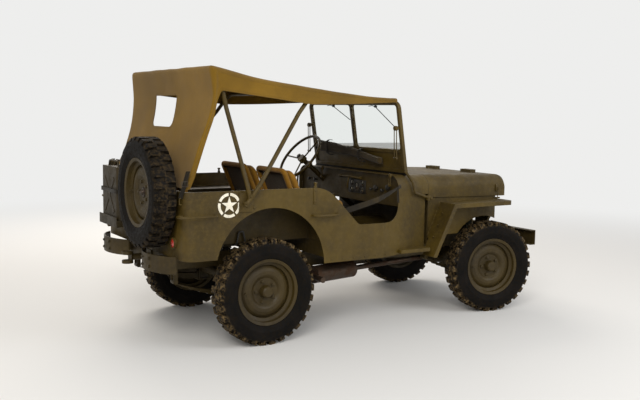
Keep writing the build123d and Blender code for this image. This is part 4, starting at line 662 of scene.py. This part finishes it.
ARC_SHARE = 0.045
CANVAS_THICK = 0.0022
HEM_THICK = 0.0046
ROOF_CENTRE = (-700, 0, 1300)
WINDOW = ((190, 1635), (184, 1424))  # half width and height at its top and at its foot
WINDOW_CORNER = 44
WINDOW_X = -1445
WINDOW_Y = 60
WINDOW_HEM = 16
SEAM_END = 0.64
HEM, FRONT_HEM = 0.014, 0.012  # shares of the sheet
SEAM_FROM, SEAM_TO = FLAP_SHARE + 0.004, FLAP_SHARE + 0.018
SLOPE_STEP = 0.004


class CanvasShape:
    """Reads the canvas table as a surface, u across and v from the windshield to the tub."""

    def __init__(self, table):
        self.rows = smooth_rows(table, 6)
        self.lengths = [0.0]
        for a, b in zip(self.rows, self.rows[1:]):
            self.lengths.append(self.lengths[-1] + math.dist(a[:2], b[:2]))

    def row(self, share):
        """Row at a share of the whole length."""
        reach = min(share, 1) * self.lengths[-1]
        for index, (start, end) in enumerate(zip(self.lengths, self.lengths[1:])):
            if reach <= end + 1e-9:
                t = (reach - start) / (end - start)
                return [a + (b - a) * t for a, b in zip(self.rows[index], self.rows[index + 1])]

    def creases(self, y, x, z, flap):
        """Slack in the cloth: long soft pulls, stronger towards free edges."""
        pull = 1.6 * math.sin(y / 83 + x / 210) * math.sin(x / 190 + z / 160)
        pull += 1.1 * math.sin(y / 41 - z / 120 + 1.3) * math.sin(x / 260 + 0.4)
        return pull + flap * 3.0 * math.sin(x / 118 + z / 95)

    def point(self, u, v):
        side = -1 if u < 0.5 else 1
        across = abs(u - 0.5)
        x, z, half, corner, edge_x, edge_z, edge_half, sag = self.row(v)
        before, after = self.row(max(v - SLOPE_STEP, 0)), self.row(v + SLOPE_STEP)
        run = Vector((after[0] - before[0], 0, after[1] - before[1])).normalized()
        inward = Vector((-run.z, 0, run.x))
        flat = 0.5 - FLAP_SHARE - ARC_SHARE
        here = Vector((x, 0, z))
        if across <= flat:
            y = (half - corner) * across / flat
            crown = 1 - (across / flat) ** 2
            here += inward * (sag * crown + self.creases(side * y, x, z, 0) * crown)
        elif across <= flat + ARC_SHARE:
            turn = (across - flat) / ARC_SHARE * math.pi / 2
            y = half - corner + corner * math.sin(turn)
            here += inward * corner * (1 - math.cos(turn))
        else:
            share = (across - flat - ARC_SHARE) / FLAP_SHARE
            here = (here + inward * corner).lerp(Vector((edge_x, 0, edge_z)), share)
            y = half + (edge_half - half) * share
            y += self.creases(side * half, x, z, share) * share * 0.8 - 2.5 * math.sin(math.pi * share)
        return at(here.x, side * y, here.z)


def window_cutter(grow, deep):
    """Prism of the curtain's window, its lower corners well rounded."""
    (half_top, top), (half_low, low) = WINDOW
    middle = (top + low) / 2
    clear()
    bpy.ops.mesh.primitive_cube_add(size=1, location=at(WINDOW_X, 0, middle))
    cutter = bpy.context.object
    cutter.scale = (deep / 1000, 2 * (half_top + grow) / 1000, (top - low + 2 * grow) / 1000)
    bpy.ops.object.transform_apply(location=True, rotation=True, scale=True)
    narrow = (half_top - half_low) / 1000
    for point in cutter.data.vertices:
        if point.co.z < middle / 1000:
            point.co.y -= math.copysign(narrow, point.co.y)
    cutter.data.transform(Matrix.Translation((0, WINDOW_Y / 1000, 0)))
    for low_edge, radius in ((True, WINDOW_CORNER + grow), (False, 10 + grow)):
        bevel_edges(
            cutter,
            lambda a, b: abs(a.y - b.y) + abs(a.z - b.z) < 1e-6 and (a.z < middle / 1000) == low_edge,
            radius, 8,
        )
    return cutter


def make_canvas():
    """The sheet with its window cut, and the hems and seams sewn on it."""
    shape = CanvasShape(CANVAS_ROWS)
    across, along = ((130, 170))
    sheet = laid_grid(across, along, shape.point, (CANVAS_WIDE, CANVAS_LONG))
    face_away(sheet, ROOF_CENTRE)
    hem = copy_of(sheet, Matrix.Identity(4))
    modifier(sheet, "SOLIDIFY", thickness=CANVAS_THICK, offset=-1)
    modifier(hem, "SOLIDIFY", thickness=HEM_THICK, offset=-0.5)
    cutter = window_cutter(0, 200)
    frame_block = window_cutter(WINDOW_HEM, 190)
    modifier(sheet, "BOOLEAN", operation="DIFFERENCE", solver="EXACT", object=cutter)
    modifier(hem, "BOOLEAN", operation="INTERSECT", solver="EXACT", object=frame_block)
    modifier(hem, "BOOLEAN", operation="DIFFERENCE", solver="EXACT", object=cutter)
    for spare in (cutter, frame_block):
        bpy.data.objects.remove(spare)
    pieces = [done(hem, "canvas_window_hem", "hem")]
    for name, u_from, u_to, v_from, v_to in (
        ("canvas_hem_right", 0, HEM, 0, 1),
        ("canvas_hem_left", 1 - HEM, 1, 0, 1),
        ("canvas_hem_front", 0, 1, 0, FRONT_HEM),
        ("canvas_hem_foot", 0, 1, 1 - HEM, 1),
        ("canvas_seam_right", SEAM_FROM, SEAM_TO, 0, SEAM_END),
        ("canvas_seam_left", 1 - SEAM_TO, 1 - SEAM_FROM, 0, SEAM_END),
    ):
        strip = laid_grid(
            3 if u_to - u_from < 0.1 else across, 3 if v_to - v_from < 0.1 else along,
            lambda u, v: shape.point(u_from + (u_to - u_from) * u, v_from + (v_to - v_from) * v),
            (CANVAS_WIDE * (u_to - u_from), CANVAS_LONG * (v_to - v_from)),
        )
        face_away(strip, ROOF_CENTRE)
        modifier(strip, "SOLIDIFY", thickness=HEM_THICK, offset=-0.45)
        pieces.append(done(strip, name, "hem"))
    done(sheet, "canvas_sheet", "canvas", smooth=60)
    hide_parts("canvas_top")


# Cushions

PAD_GRAIN, QUICK_GRAIN = 0.006, 0.012
CLOTH_FRAMES = 20
CLOTH = {
    "quality": 4, "mass": 0.3, "tension_stiffness": 12, "compression_stiffness": 12, "bending_stiffness": 0.4,
    "use_pressure": True, "uniform_pressure_force": 4,
}


def swell(pad, cap):
    """Blows the pad up with cloth pressure and keeps every point within cap of where it began."""
    before = [point.co.copy() for point in pad.data.vertices]
    pick(pad)
    cloth_run = pad.modifiers.new("cloth", "CLOTH")
    for name, value in CLOTH.items():
        setattr(cloth_run.settings, name, value)
    cloth_run.settings.effector_weights.gravity = 0
    cloth_run.collision_settings.use_collision = False
    cloth_run.collision_settings.use_self_collision = False
    for frame_number in range(1, CLOTH_FRAMES + 1):
        bpy.context.scene.frame_set(frame_number)
    bpy.ops.object.modifier_apply(modifier=cloth_run.name)
    bpy.context.scene.frame_set(1)
    for point, start in zip(pad.data.vertices, before):
        moved = point.co - start
        if moved.length > cap:
            point.co = start + moved * (cap / moved.length)


def stuffed(size, round_edge, top_corner, cap, seams):
    """Pad at the origin, size across X, Y and Z, its seams drawn in after it is blown up."""
    clear()
    bpy.ops.mesh.primitive_cube_add(size=1)
    pad = bpy.context.object
    pad.scale = [span / 1000 for span in size]
    bpy.ops.object.transform_apply(scale=True)
    if top_corner:
        bevel_edges(
            pad, lambda a, b: abs(a.y - b.y) < 1e-6 < abs(a.x - b.x) and min(a.z, b.z) > 0, top_corner, 7,
        )
    modifier(pad, "BEVEL", width=round_edge / 1000, segments=4, limit_method="ANGLE", angle_limit=0.9)
    modifier(pad, "REMESH", mode="VOXEL", voxel_size=PAD_GRAIN)
    swell(pad, cap / 1000)
    modifier(pad, "SUBSURF", levels=1, render_levels=1)
    for point in pad.data.vertices:
        place = point.co * 1000
        away = Vector([value / span for value, span in zip(place, size)])
        pull = 0.0
        for axis, seam in seams:
            gap = abs(place[axis] - seam)
            edge = max(abs(away[i]) for i in range(3) if i != axis)
            if edge > 0.36:
                pull += 2.2 * math.exp(-(gap / 3.0) ** 2) - 3.2 * math.exp(-(gap / 9.0) ** 2)
        point.co += away.normalized() * pull / 1000
    return pad


FRONT_SEATS = (("driver", 290, "chassis"), ("passenger", -290, "passenger_seat"))
PADS = (
    # name, size x y z, edge, top corner, cap, seams as (axis, place), centre x z, lean, fill
    ("seat_cushion", (330, 352, 78), 26, 0, 12, ((2, 20), (2, -22)), (-434, 866), 0.0, 0.6),
    ("seat_back", (40, 384, 236), 15, 62, 7, ((0, 12),), (-684, 1029), -24.0, 0.5),
    ("rear_cushion", (312, 812, 66), 24, 0, 10, ((2, 16), (2, -18)), (-1310, 888), 2.0, 0.6),
    ("rear_back", (38, 812, 168), 15, 0, 7, ((0, 11),), (-1481, 1022), -12.0, 0.5),
)


def make_pads():
    for name, size, edge, top_corner, cap, seams, (x, z), lean, fill in PADS:
        pad = stuffed(size, edge, top_corner, cap, seams)
        tilt = Matrix.Rotation(math.radians(lean), 4, "Y")
        if name.startswith("rear"):
            places = ((name, 0, "chassis"),)
        else:
            places = tuple((f"{who}_{name}", seat_y, seat_body) for who, seat_y, seat_body in FRONT_SEATS)
        for full_name, y, body in places:
            piece = copy_of(pad, Matrix.Translation(at(x, y, z)) @ tilt)
            done(piece, full_name, "seat", body, smooth=180)
            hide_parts("passenger_seat_cushions" if body == "passenger_seat" else "seat_cushions")
        bpy.data.objects.remove(pad)


HOOP = ((-1, -698, 921), (-1, -793, 1134), (1, -793, 1134), (1, -698, 921))  # side, x, z
HOOP_RADIUS = 18.5


def make_seat_covers():
    """Canvas rolled round each front seat's hoop, with a sunk panel stretched between its sides, its cloth
    darkened as painted shade.
    """
    for who, y, body in FRONT_SEATS:
        roll = rod([(x, y + side * 188, z) for side, x, z in HOOP], HOOP_RADIUS, 62)
        done(roll, f"{who}_hoop_cover", "seat", body)

        def panel_point(u, v):
            dish = 9 * math.sin(math.pi * u) * math.sin(math.pi * v) + 1.6 * math.sin(9 * u + 3 * v)
            return at(-698 - 86 * v + dish, y + 372 * (u - 0.5), 925 + 206 * v)

        panel = laid_grid(24, 16, panel_point, (0.372, 0.224))
        modifier(panel, "SOLIDIFY", thickness=0.002, offset=0)
        # the panel's dark cloth is painted shade on the seat back's canvas
        done(panel, f"{who}_back_panel", "shaded_duck", body)


# Straps and fittings

def pair(piece, name, finish, body="chassis", smooth=35):
    """Finishes a right-hand piece and its mirror image on the left."""
    twin = copy_of(piece, Matrix.Scale(-1, 4, (0, 1, 0)))
    done(piece, f"{name}_right", finish, body, smooth)
    done(twin, f"{name}_left", finish, body, smooth)
    return piece, twin


WEB_THICK = 0.0024


def webbing(rows, turns=28):
    """Flat strap through rows of centre x y z, half width along x y z."""
    dense = smooth_rows(rows, turns // (len(rows) - 1))

    def edge_point(u, v):
        row = dense[round(v * (len(dense) - 1))]
        return at(*(middle + (2 * u - 1) * half for middle, half in zip(row[:3], row[3:])))

    length = sum(math.dist(a[:3], b[:3]) for a, b in zip(dense, dense[1:])) / 1000
    strap = laid_grid(3, len(dense) - 1, edge_point, (0.04, length))
    modifier(strap, "SOLIDIFY", thickness=WEB_THICK, offset=0)
    modifier(strap, "BEVEL", width=0.0006, segments=2, limit_method="ANGLE")
    return strap


STRAP_HOOK = ((34, -697, 1008), (34, -697, 1030), (50, -694, 1030), (50, -694, 1008), (36, -697, 1006))


def make_safety_straps():
    strap = webbing((
        (-475, -734, 866, -5, 0, 19), (-340, -730, 897, -5, 0, 19), (-180, -722, 934, -5, -1, 18),
        (-60, -708, 976, -4, -4, 14), (12, -699, 1006, -3, -5, 10), (30, -697, 1016, -3, -5, 9),
    ))
    tail = webbing(((22, -699, 1010, -2, -9, 0), (20, -703, 960, -1, -12, 0), (24, -704, 905, -1, -12, 0)))
    for piece in pair(joined([strap, tail]), "door_strap", "web", smooth=50):
        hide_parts("safety_straps")
    hook = joined([
        rod(STRAP_HOOK, 3.2, 7),
        spun([(0, 0), (15, 0), (15, 3), (0, 3)], (-475, -737, 866), (0, 1, 0), 20),
    ])
    pair(hook, "door_strap_hook", "iron")


BUCKLE_AT = (-1615, -711, 1090)
BUCKLE = ((-19, 0), (-19, 15), (19, 15), (19, -15), (-19, -15), (-19, -1))  # along and up


def make_curtain_straps():
    strap = webbing((
        (-1590, -703, 1168, 14, 0, 0), (-1606, -706, 1120, 14, 0, 0), (-1622, -708, 1062, 14, 0, 0),
        (-1632, -700, 1030, 13, -4, 0), (-1634, -690, 1000, 12, -8, 0),
    ))
    pair(strap, "curtain_strap", "web", smooth=50)
    x, y, z = BUCKLE_AT
    ring = rod([(x + wide, y, z + high) for wide, high in BUCKLE], 2.2, 5)
    tongue = rod(((x, y, z - 15), (x, y - 3, z), (x, y, z + 15)), 1.6, 3)
    pair(joined([ring, tongue]), "curtain_buckle", "iron")
    hook = rod(((-1627, -690, 1003), (-1641, -690, 1001), (-1642, -690, 965), (-1627, -690, 963)), 3.5, 8)
    pair(hook, "curtain_hook", "body")


BACK, OUT, UP = (-1, 0, 0), (0, -1, 0), (0, 0, 1)
WIPERS = (("left", (68, 243, 1590), (88, 24, 1484)), ("right", (68, -331, 1588), (92, -540, 1446)))


def make_windshield_fittings():
    knob = joined([
        spun([(0, 0), (9, 0), (9, 20), (17, 22), (18, 42), (14, 46), (0, 46)], (97, -597, 1432), BACK, 20),
        rod(((62, -583, 1434), (64, -584, 1330), (68, -586, 1218)), 3.4, 20),
        rod(((62, -611, 1434), (64, -611, 1330), (68, -610, 1218)), 3.4, 20),
        block((60, -617, 1208), (76, -579, 1222), 3),
        block((56, -618, 1424), (68, -576, 1442), 3),
    ])
    pair(knob, "windshield_arm", "body")
    for name, (x, y, z), low in WIPERS:
        wiper = joined([
            spun([(0, 0), (9, 0), (9, 16), (6, 20), (0, 20)], (x + 14, y, z), BACK, 16),
            rod(((x, y, z), low), 3.0),
            rod(((x, y, z), (x - 14, y + 18, z + 6), (x - 16, y + 58, z + 2)), 2.6, 8),
        ])
        done(wiper, f"wiper_arm_{name}", "black")
    for name, y in (("left", 318), ("right", -600)):
        clamp = joined([
            block((14, y - 13, 1074), (30, y + 13, 1104), 3),
            rod(((20, y - 10, 1078), (16, y - 10, 1024), (16, y + 10, 1024), (20, y + 10, 1078)), 3.2, 8),
            block((12, y - 14, 1012), (22, y + 14, 1030), 3),
        ])
        done(clamp, f"windshield_clamp_{name}", "body")
    pair(bolt((363, -661, 918), OUT, 20, 8), "windshield_pivot_nut", "body")
    done(block((149, -606, 1087), (169, 606, 1112), 5), "windshield_seal", "seal")


ROLL_HALF = 0.43  # metres
ROLL_AT = (101, 45, 1224)
ROLL_STRAPS = ((330, 1256, 58), (-120, 1214, 47))  # y, z, half height


def make_cover_roll():
    """Folded canvas cover strapped to the inside of the windshield's lower panel."""
    roll = stuffed((38, 850, 92), 15, 0, 5, ((0, 6), (2, 10)))
    for point in roll.data.vertices:
        place = point.co
        share = (place.y / ROLL_HALF + 1) / 2
        slack = 0.55 + 0.55 * min(1, max(0, share * 1.2))
        place.x *= 0.8 + 0.2 * slack
        place.z *= slack
        fold = 0.0018 * math.sin(place.y * 16 + place.z * 90) + 0.0012 * math.sin(place.y * 31 + 2)
        place.z += 0.016 * math.sin(math.pi * share) + 0.086 * share - 0.045 + fold
        place.x += 0.5 * fold - 0.16 * place.z
    roll.data.transform(Matrix.Translation(at(*ROLL_AT)))
    done(roll, "windshield_cover_roll", "cover", smooth=180)
    for index, (y, z, high) in enumerate(ROLL_STRAPS):
        loop = webbing([(x, y, z + rise, 0, 15, 0) for x, rise in (
            (122, high), (98, high + 3), (72, high - 14), (70, 0), (78, 14 - high), (106, -high - 3),
            (134, -high),
        )], turns=30)
        done(loop, f"cover_roll_strap_{index + 1}", "web", smooth=50)


DASH_X = 64
GAUGES = ((-130, 972, 37), (-60, 1000, 22), (-60, 948, 22), (-200, 1000, 22), (-200, 948, 22))  # y, z, radius
KNOBS = ((-393, 985, 21), (-470, 972, 13), (-540, 998, 21), (-330, 972, 10), (470, 985, 13), (560, 985, 13))


def make_dash_fittings():
    gauges = []
    for y, z, radius in GAUGES:
        bezel = spun([(radius - 4, 4), (radius - 2, 9), (radius + 2, 8), (radius + 3, 0), (radius - 4, 0)],
                     (DASH_X, y, z), BACK, 32)
        face = spun([(0, 4.5), (radius - 3.5, 4), (radius - 3.5, 1), (0, 1)], (DASH_X, y, z), BACK, 32)
        needle = block((58.4, y - 1, z - 2), (59.2, y + 1, z + radius * 0.7), 0.3)
        gauges.append(bezel)
        done(face, f"gauge_face_{len(gauges)}", "dial")
        done(needle, f"gauge_needle_{len(gauges)}", "star")
    plate = block((60.5, -246, 922), (DASH_X, -14, 1026), 1.2)
    done(joined(gauges + [plate]), "gauge_panel", "black")
    handle = joined([
        rod(((48, 105, 1042), (44, -40, 1046), (48, -192, 1041)), 8, 20),
        rod(((46, -40, 1044), (36, -38, 1000), (44, -22, 955)), 7, 14),
        block((44, 88, 1030), (64, 106, 1052), 3), block((44, -192, 1030), (64, -174, 1052), 3),
    ])
    done(handle, "dash_grab_bar", "body")
    knobs = []
    for y, z, radius in KNOBS:
        stem, edge = 0.5 * radius, 0.7 * radius
        profile = [(0, 0), (stem, 0), (stem, 14), (radius, 16), (radius, 24), (edge, 28), (0, 28)]
        knobs.append(spun(profile, (DASH_X, y, z), BACK, 20))
    done(joined(knobs), "dash_knobs", "black")


STAR_AT = (-1330, -740.4, 951)
STAR_RADIUS = 55
STAR_NOTCH = 0.382  # share of the radius
RING_INNER = 60
RING_OUTER = 78
RING_ARC = 62  # degrees
PAINT_THICK = 0.0005


def make_emblem():
    """Painted star in a broken ring on each rear quarter, as thin as paint."""
    x, y, z = STAR_AT
    clear()
    bpy.ops.mesh.primitive_circle_add(vertices=10, radius=STAR_RADIUS / 1000, fill_type="TRIFAN")
    star = bpy.context.object
    for index, point in enumerate(star.data.vertices):
        if point.co.length < 1e-4:
            continue
        radius = STAR_RADIUS * (STAR_NOTCH if index % 2 else 1)
        turn = math.radians(90 + 36 * index)
        point.co = (radius * math.cos(turn) / 1000, 0, radius * math.sin(turn) / 1000)
    star.data.transform(Matrix.Translation(at(x, y, z)))
    parts = [star]
    for count in range(5):
        middle = 90 + 36 + 72 * count

        def arc_point(u, v):
            turn = math.radians(middle + (u - 0.5) * RING_ARC)
            radius = RING_INNER + (RING_OUTER - RING_INNER) * v
            return at(x + radius * math.cos(turn), y, z + radius * math.sin(turn))

        parts.append(laid_grid(12, 1, arc_point, (0.08, 0.016)))
    emblem = joined(parts)
    modifier(emblem, "SOLIDIFY", thickness=PAINT_THICK, offset=0)
    turn_out()
    pair(emblem, "quarter_emblem", "star", smooth=10)


HOUSE_LOOP = ((-1168, -501, 660), (-1166, -516, 664), (-1150, -516, 742), (-1118, -516, 744),
              (-1102, -516, 672), (-1102, -501, 668))


def make_side_fittings():
    socket = joined([
        block((-713, -745, 928), (-689, -740.3, 1052), 2),
        spun([(0, 0), (8, 0), (8, 24), (12, 26), (12, 34), (0, 34)], (-701, -744, 1042), UP, 16),
        bolt((-701, -745, 950), OUT, 11, 4), bolt((-701, -745, 1022), OUT, 11, 4),
    ])
    pair(socket, "bow_socket", "body")
    nuts = joined([bolt((x, y, z), OUT, across, 5) for x, y, z, across in (
        (-1197, -782.5, 1007, 15), (-1232, -782.5, 964, 15), (-1160, -747, 930, 12), (-1256, -747, 930, 12),
    )])
    pair(nuts, "bow_bracket_nuts", "body")
    latch = joined([
        block((1132, -536, 930), (1164, -529, 990), 2),
        rod(((1139, -538, 968), (1139, -541, 925), (1157, -541, 925), (1157, -538, 968)), 2.6, 7),
    ])
    pair(latch, "hood_latch", "body", "hood")
    catch = joined([
        block((1128, -552, 875.4), (1168, -532, 886), 2),
        rod(((1148, -542, 884), (1148, -544, 905), (1140, -546, 912)), 3.4, 6),
    ])
    pair(catch, "hood_catch", "body")
    rivets = [spun([(7, 0), (6, 2), (3.4, 3.2), (0, 3.6)], (-560 + 92 * index, -740.2, 545), OUT, 12)
              for index in range(7)]
    for x, z in ((346, 545), (386, 630), (428, 716), (468, 802)):
        rivets.append(bolt((x, -668, z), (-0.89, 0, 0.45), 11, 4))
    pair(joined(rivets), "tub_fasteners", "body")
    pair(rod(HOUSE_LOOP, 6, 12), "wheel_house_loop", "black")
    bolts = joined([bolt((-1750.3, y, z), BACK, 15, 6) for y in (-335, -445) for z in (552, 602)])
    pair(bolts, "bumperette_bolts", "chassis")


def make_lenses():
    lens_piece = spun([(77, 0.6), (53, 8), (26, 12.2), (0, 13.2)], (1185.4, -380, 930), (1, 0, 0), 40)
    pair(lens_piece, "headlamp_lens", "lens", smooth=60)
    ring = spun([(78, 0), (86, -1), (89, 3), (87, 8), (80, 9), (77, 5)], (1181, -380, 930), (1, 0, 0), 40)
    pair(ring, "headlamp_ring", "body")
    marker = spun([(22, 0.8), (14, 3.2), (0, 4)], (1205.5, -380, 770), (1, 0, 0), 24)
    pair(marker, "marker_lens", "lens", smooth=60)
    for name, y, depth in (("tail_lens", 575, 46), ("tail_reflector", -575, 14)):
        red = spun([(28, 0.4), (20, 4.2), (10, 6.4), (0, 7)], (-1625 - depth, y, 711), BACK, 28)
        done(red, name, "red_lens", smooth=60)
        rim = spun([(28, 0), (35, 0), (37, 3), (34, 7), (29, 6)], (-1624 - depth, y, 711), BACK, 28)
        done(rim, f"{name}_rim", "body")


WHEELS = (("front_left", 1, 1), ("front_right", 1, -1), ("rear_left", -1, 1), ("rear_right", -1, -1))
AXLE_X = 1016
AXLE_Z = 355
WHEEL_Y = 622.5
KINGPIN_Y = 512.5
REST_STEER = math.radians(-10.8)
SPARE_AT = (-1722, -335, 1012)


def bolt_ring(count, radius, depth, across, high, first=0.0):
    """Bolts round a wheel at the origin that faces along Y, from a share of the first step on."""
    turns = (math.tau * (index + first) / count for index in range(count))
    return [bolt((radius * math.cos(turn), depth, radius * math.sin(turn)), (0, 1, 0), across, high)
            for turn in turns]


def make_wheel_fittings():
    """Five nuts, a ring of flange bolts and a valve for each wheel; the spare has no flange bolts."""
    home = Matrix.Translation(-at(0, 0, 0))
    plain = joined(bolt_ring(5, 70, 16, 21, 13) + [rod(((150, 24, 0), (158, 36, 0), (160, 50, 0)), 4.4, 5)])
    plain.data.transform(home)
    flange = joined(bolt_ring(6, 33, 58, 9, 4, 0.5))
    flange.data.transform(home)
    full = joined([copy_of(plain, Matrix.Identity(4)), flange])
    for name, end, side in WHEELS:
        pivot = KINGPIN_Y if end > 0 else WHEEL_Y
        place = (
            Matrix.Translation(at(end * AXLE_X, side * pivot, AXLE_Z))
            @ Matrix.Rotation(REST_STEER if end > 0 else 0, 4, "Z")
            @ Matrix.Translation((0, side * (WHEEL_Y - pivot) / 1000, 0))
            @ Matrix.Rotation(0 if side > 0 else math.pi, 4, "Z")
        )
        done(copy_of(full, place), f"wheel_nuts_{name}", "wheel", f"wheel_{name}")
    spare = Matrix.Translation(at(*SPARE_AT)) @ Matrix.Rotation(math.pi / 2, 4, "Z")
    done(copy_of(plain, spare), "wheel_nuts_spare", "wheel")
    for used in (plain, full):
        bpy.data.objects.remove(used)
    stud = spun([(30, 14), (30, 20), (18, 22), (12, 34), (0, 36)], SPARE_AT, BACK, 24)
    wings = block((-1760, -365, 1007), (-1748, -305, 1017), 4)
    done(joined([stud, wings]), "spare_wing_nut", "iron")


CAN_STRAP = ((-1632, 24), (-1700, 23), (-1768, 26), (-1795, 60), (-1796, 200), (-1795, 344), (-1768, 379),
             (-1700, 381), (-1632, 380))


def make_can_fittings():
    strap = webbing([(x, y, 985, 0, 0, 13) for x, y in CAN_STRAP], turns=64)
    done(strap, "can_strap", "web", smooth=50)
    lever = joined([
        rod(((-1712, 300, 1152), (-1712, 306, 1178), (-1712, 360, 1182)), 4, 8),
        spun([(24, 0), (29, 2), (29, 8), (24, 11), (0, 12)], (-1712, 334, 1166), UP, 28),
    ])
    done(lever, "can_cap_lever", "body")


def make_horn_button():
    axis = Vector((-0.7815, 0, 0.6239))
    button = Vector((-159, 370, 1178)) + axis * 12
    horn = spun([(0, 0), (19, 0), (19, 5), (15, 10), (8, 12.5), (0, 13)], button, axis, 24)
    done(horn, "horn_button", "black", "steering_wheel")


add_camera()
set_world()
add_floor()
add_lights()
paint_nodes()
make_canvas()
make_pads()
make_seat_covers()
make_safety_straps()
make_curtain_straps()
make_windshield_fittings()
make_cover_roll()
make_dash_fittings()
make_emblem()
make_side_fittings()
make_lenses()
make_wheel_fittings()
make_can_fittings()
make_horn_button()

bpy.context.scene.view_settings.view_transform = "Standard"
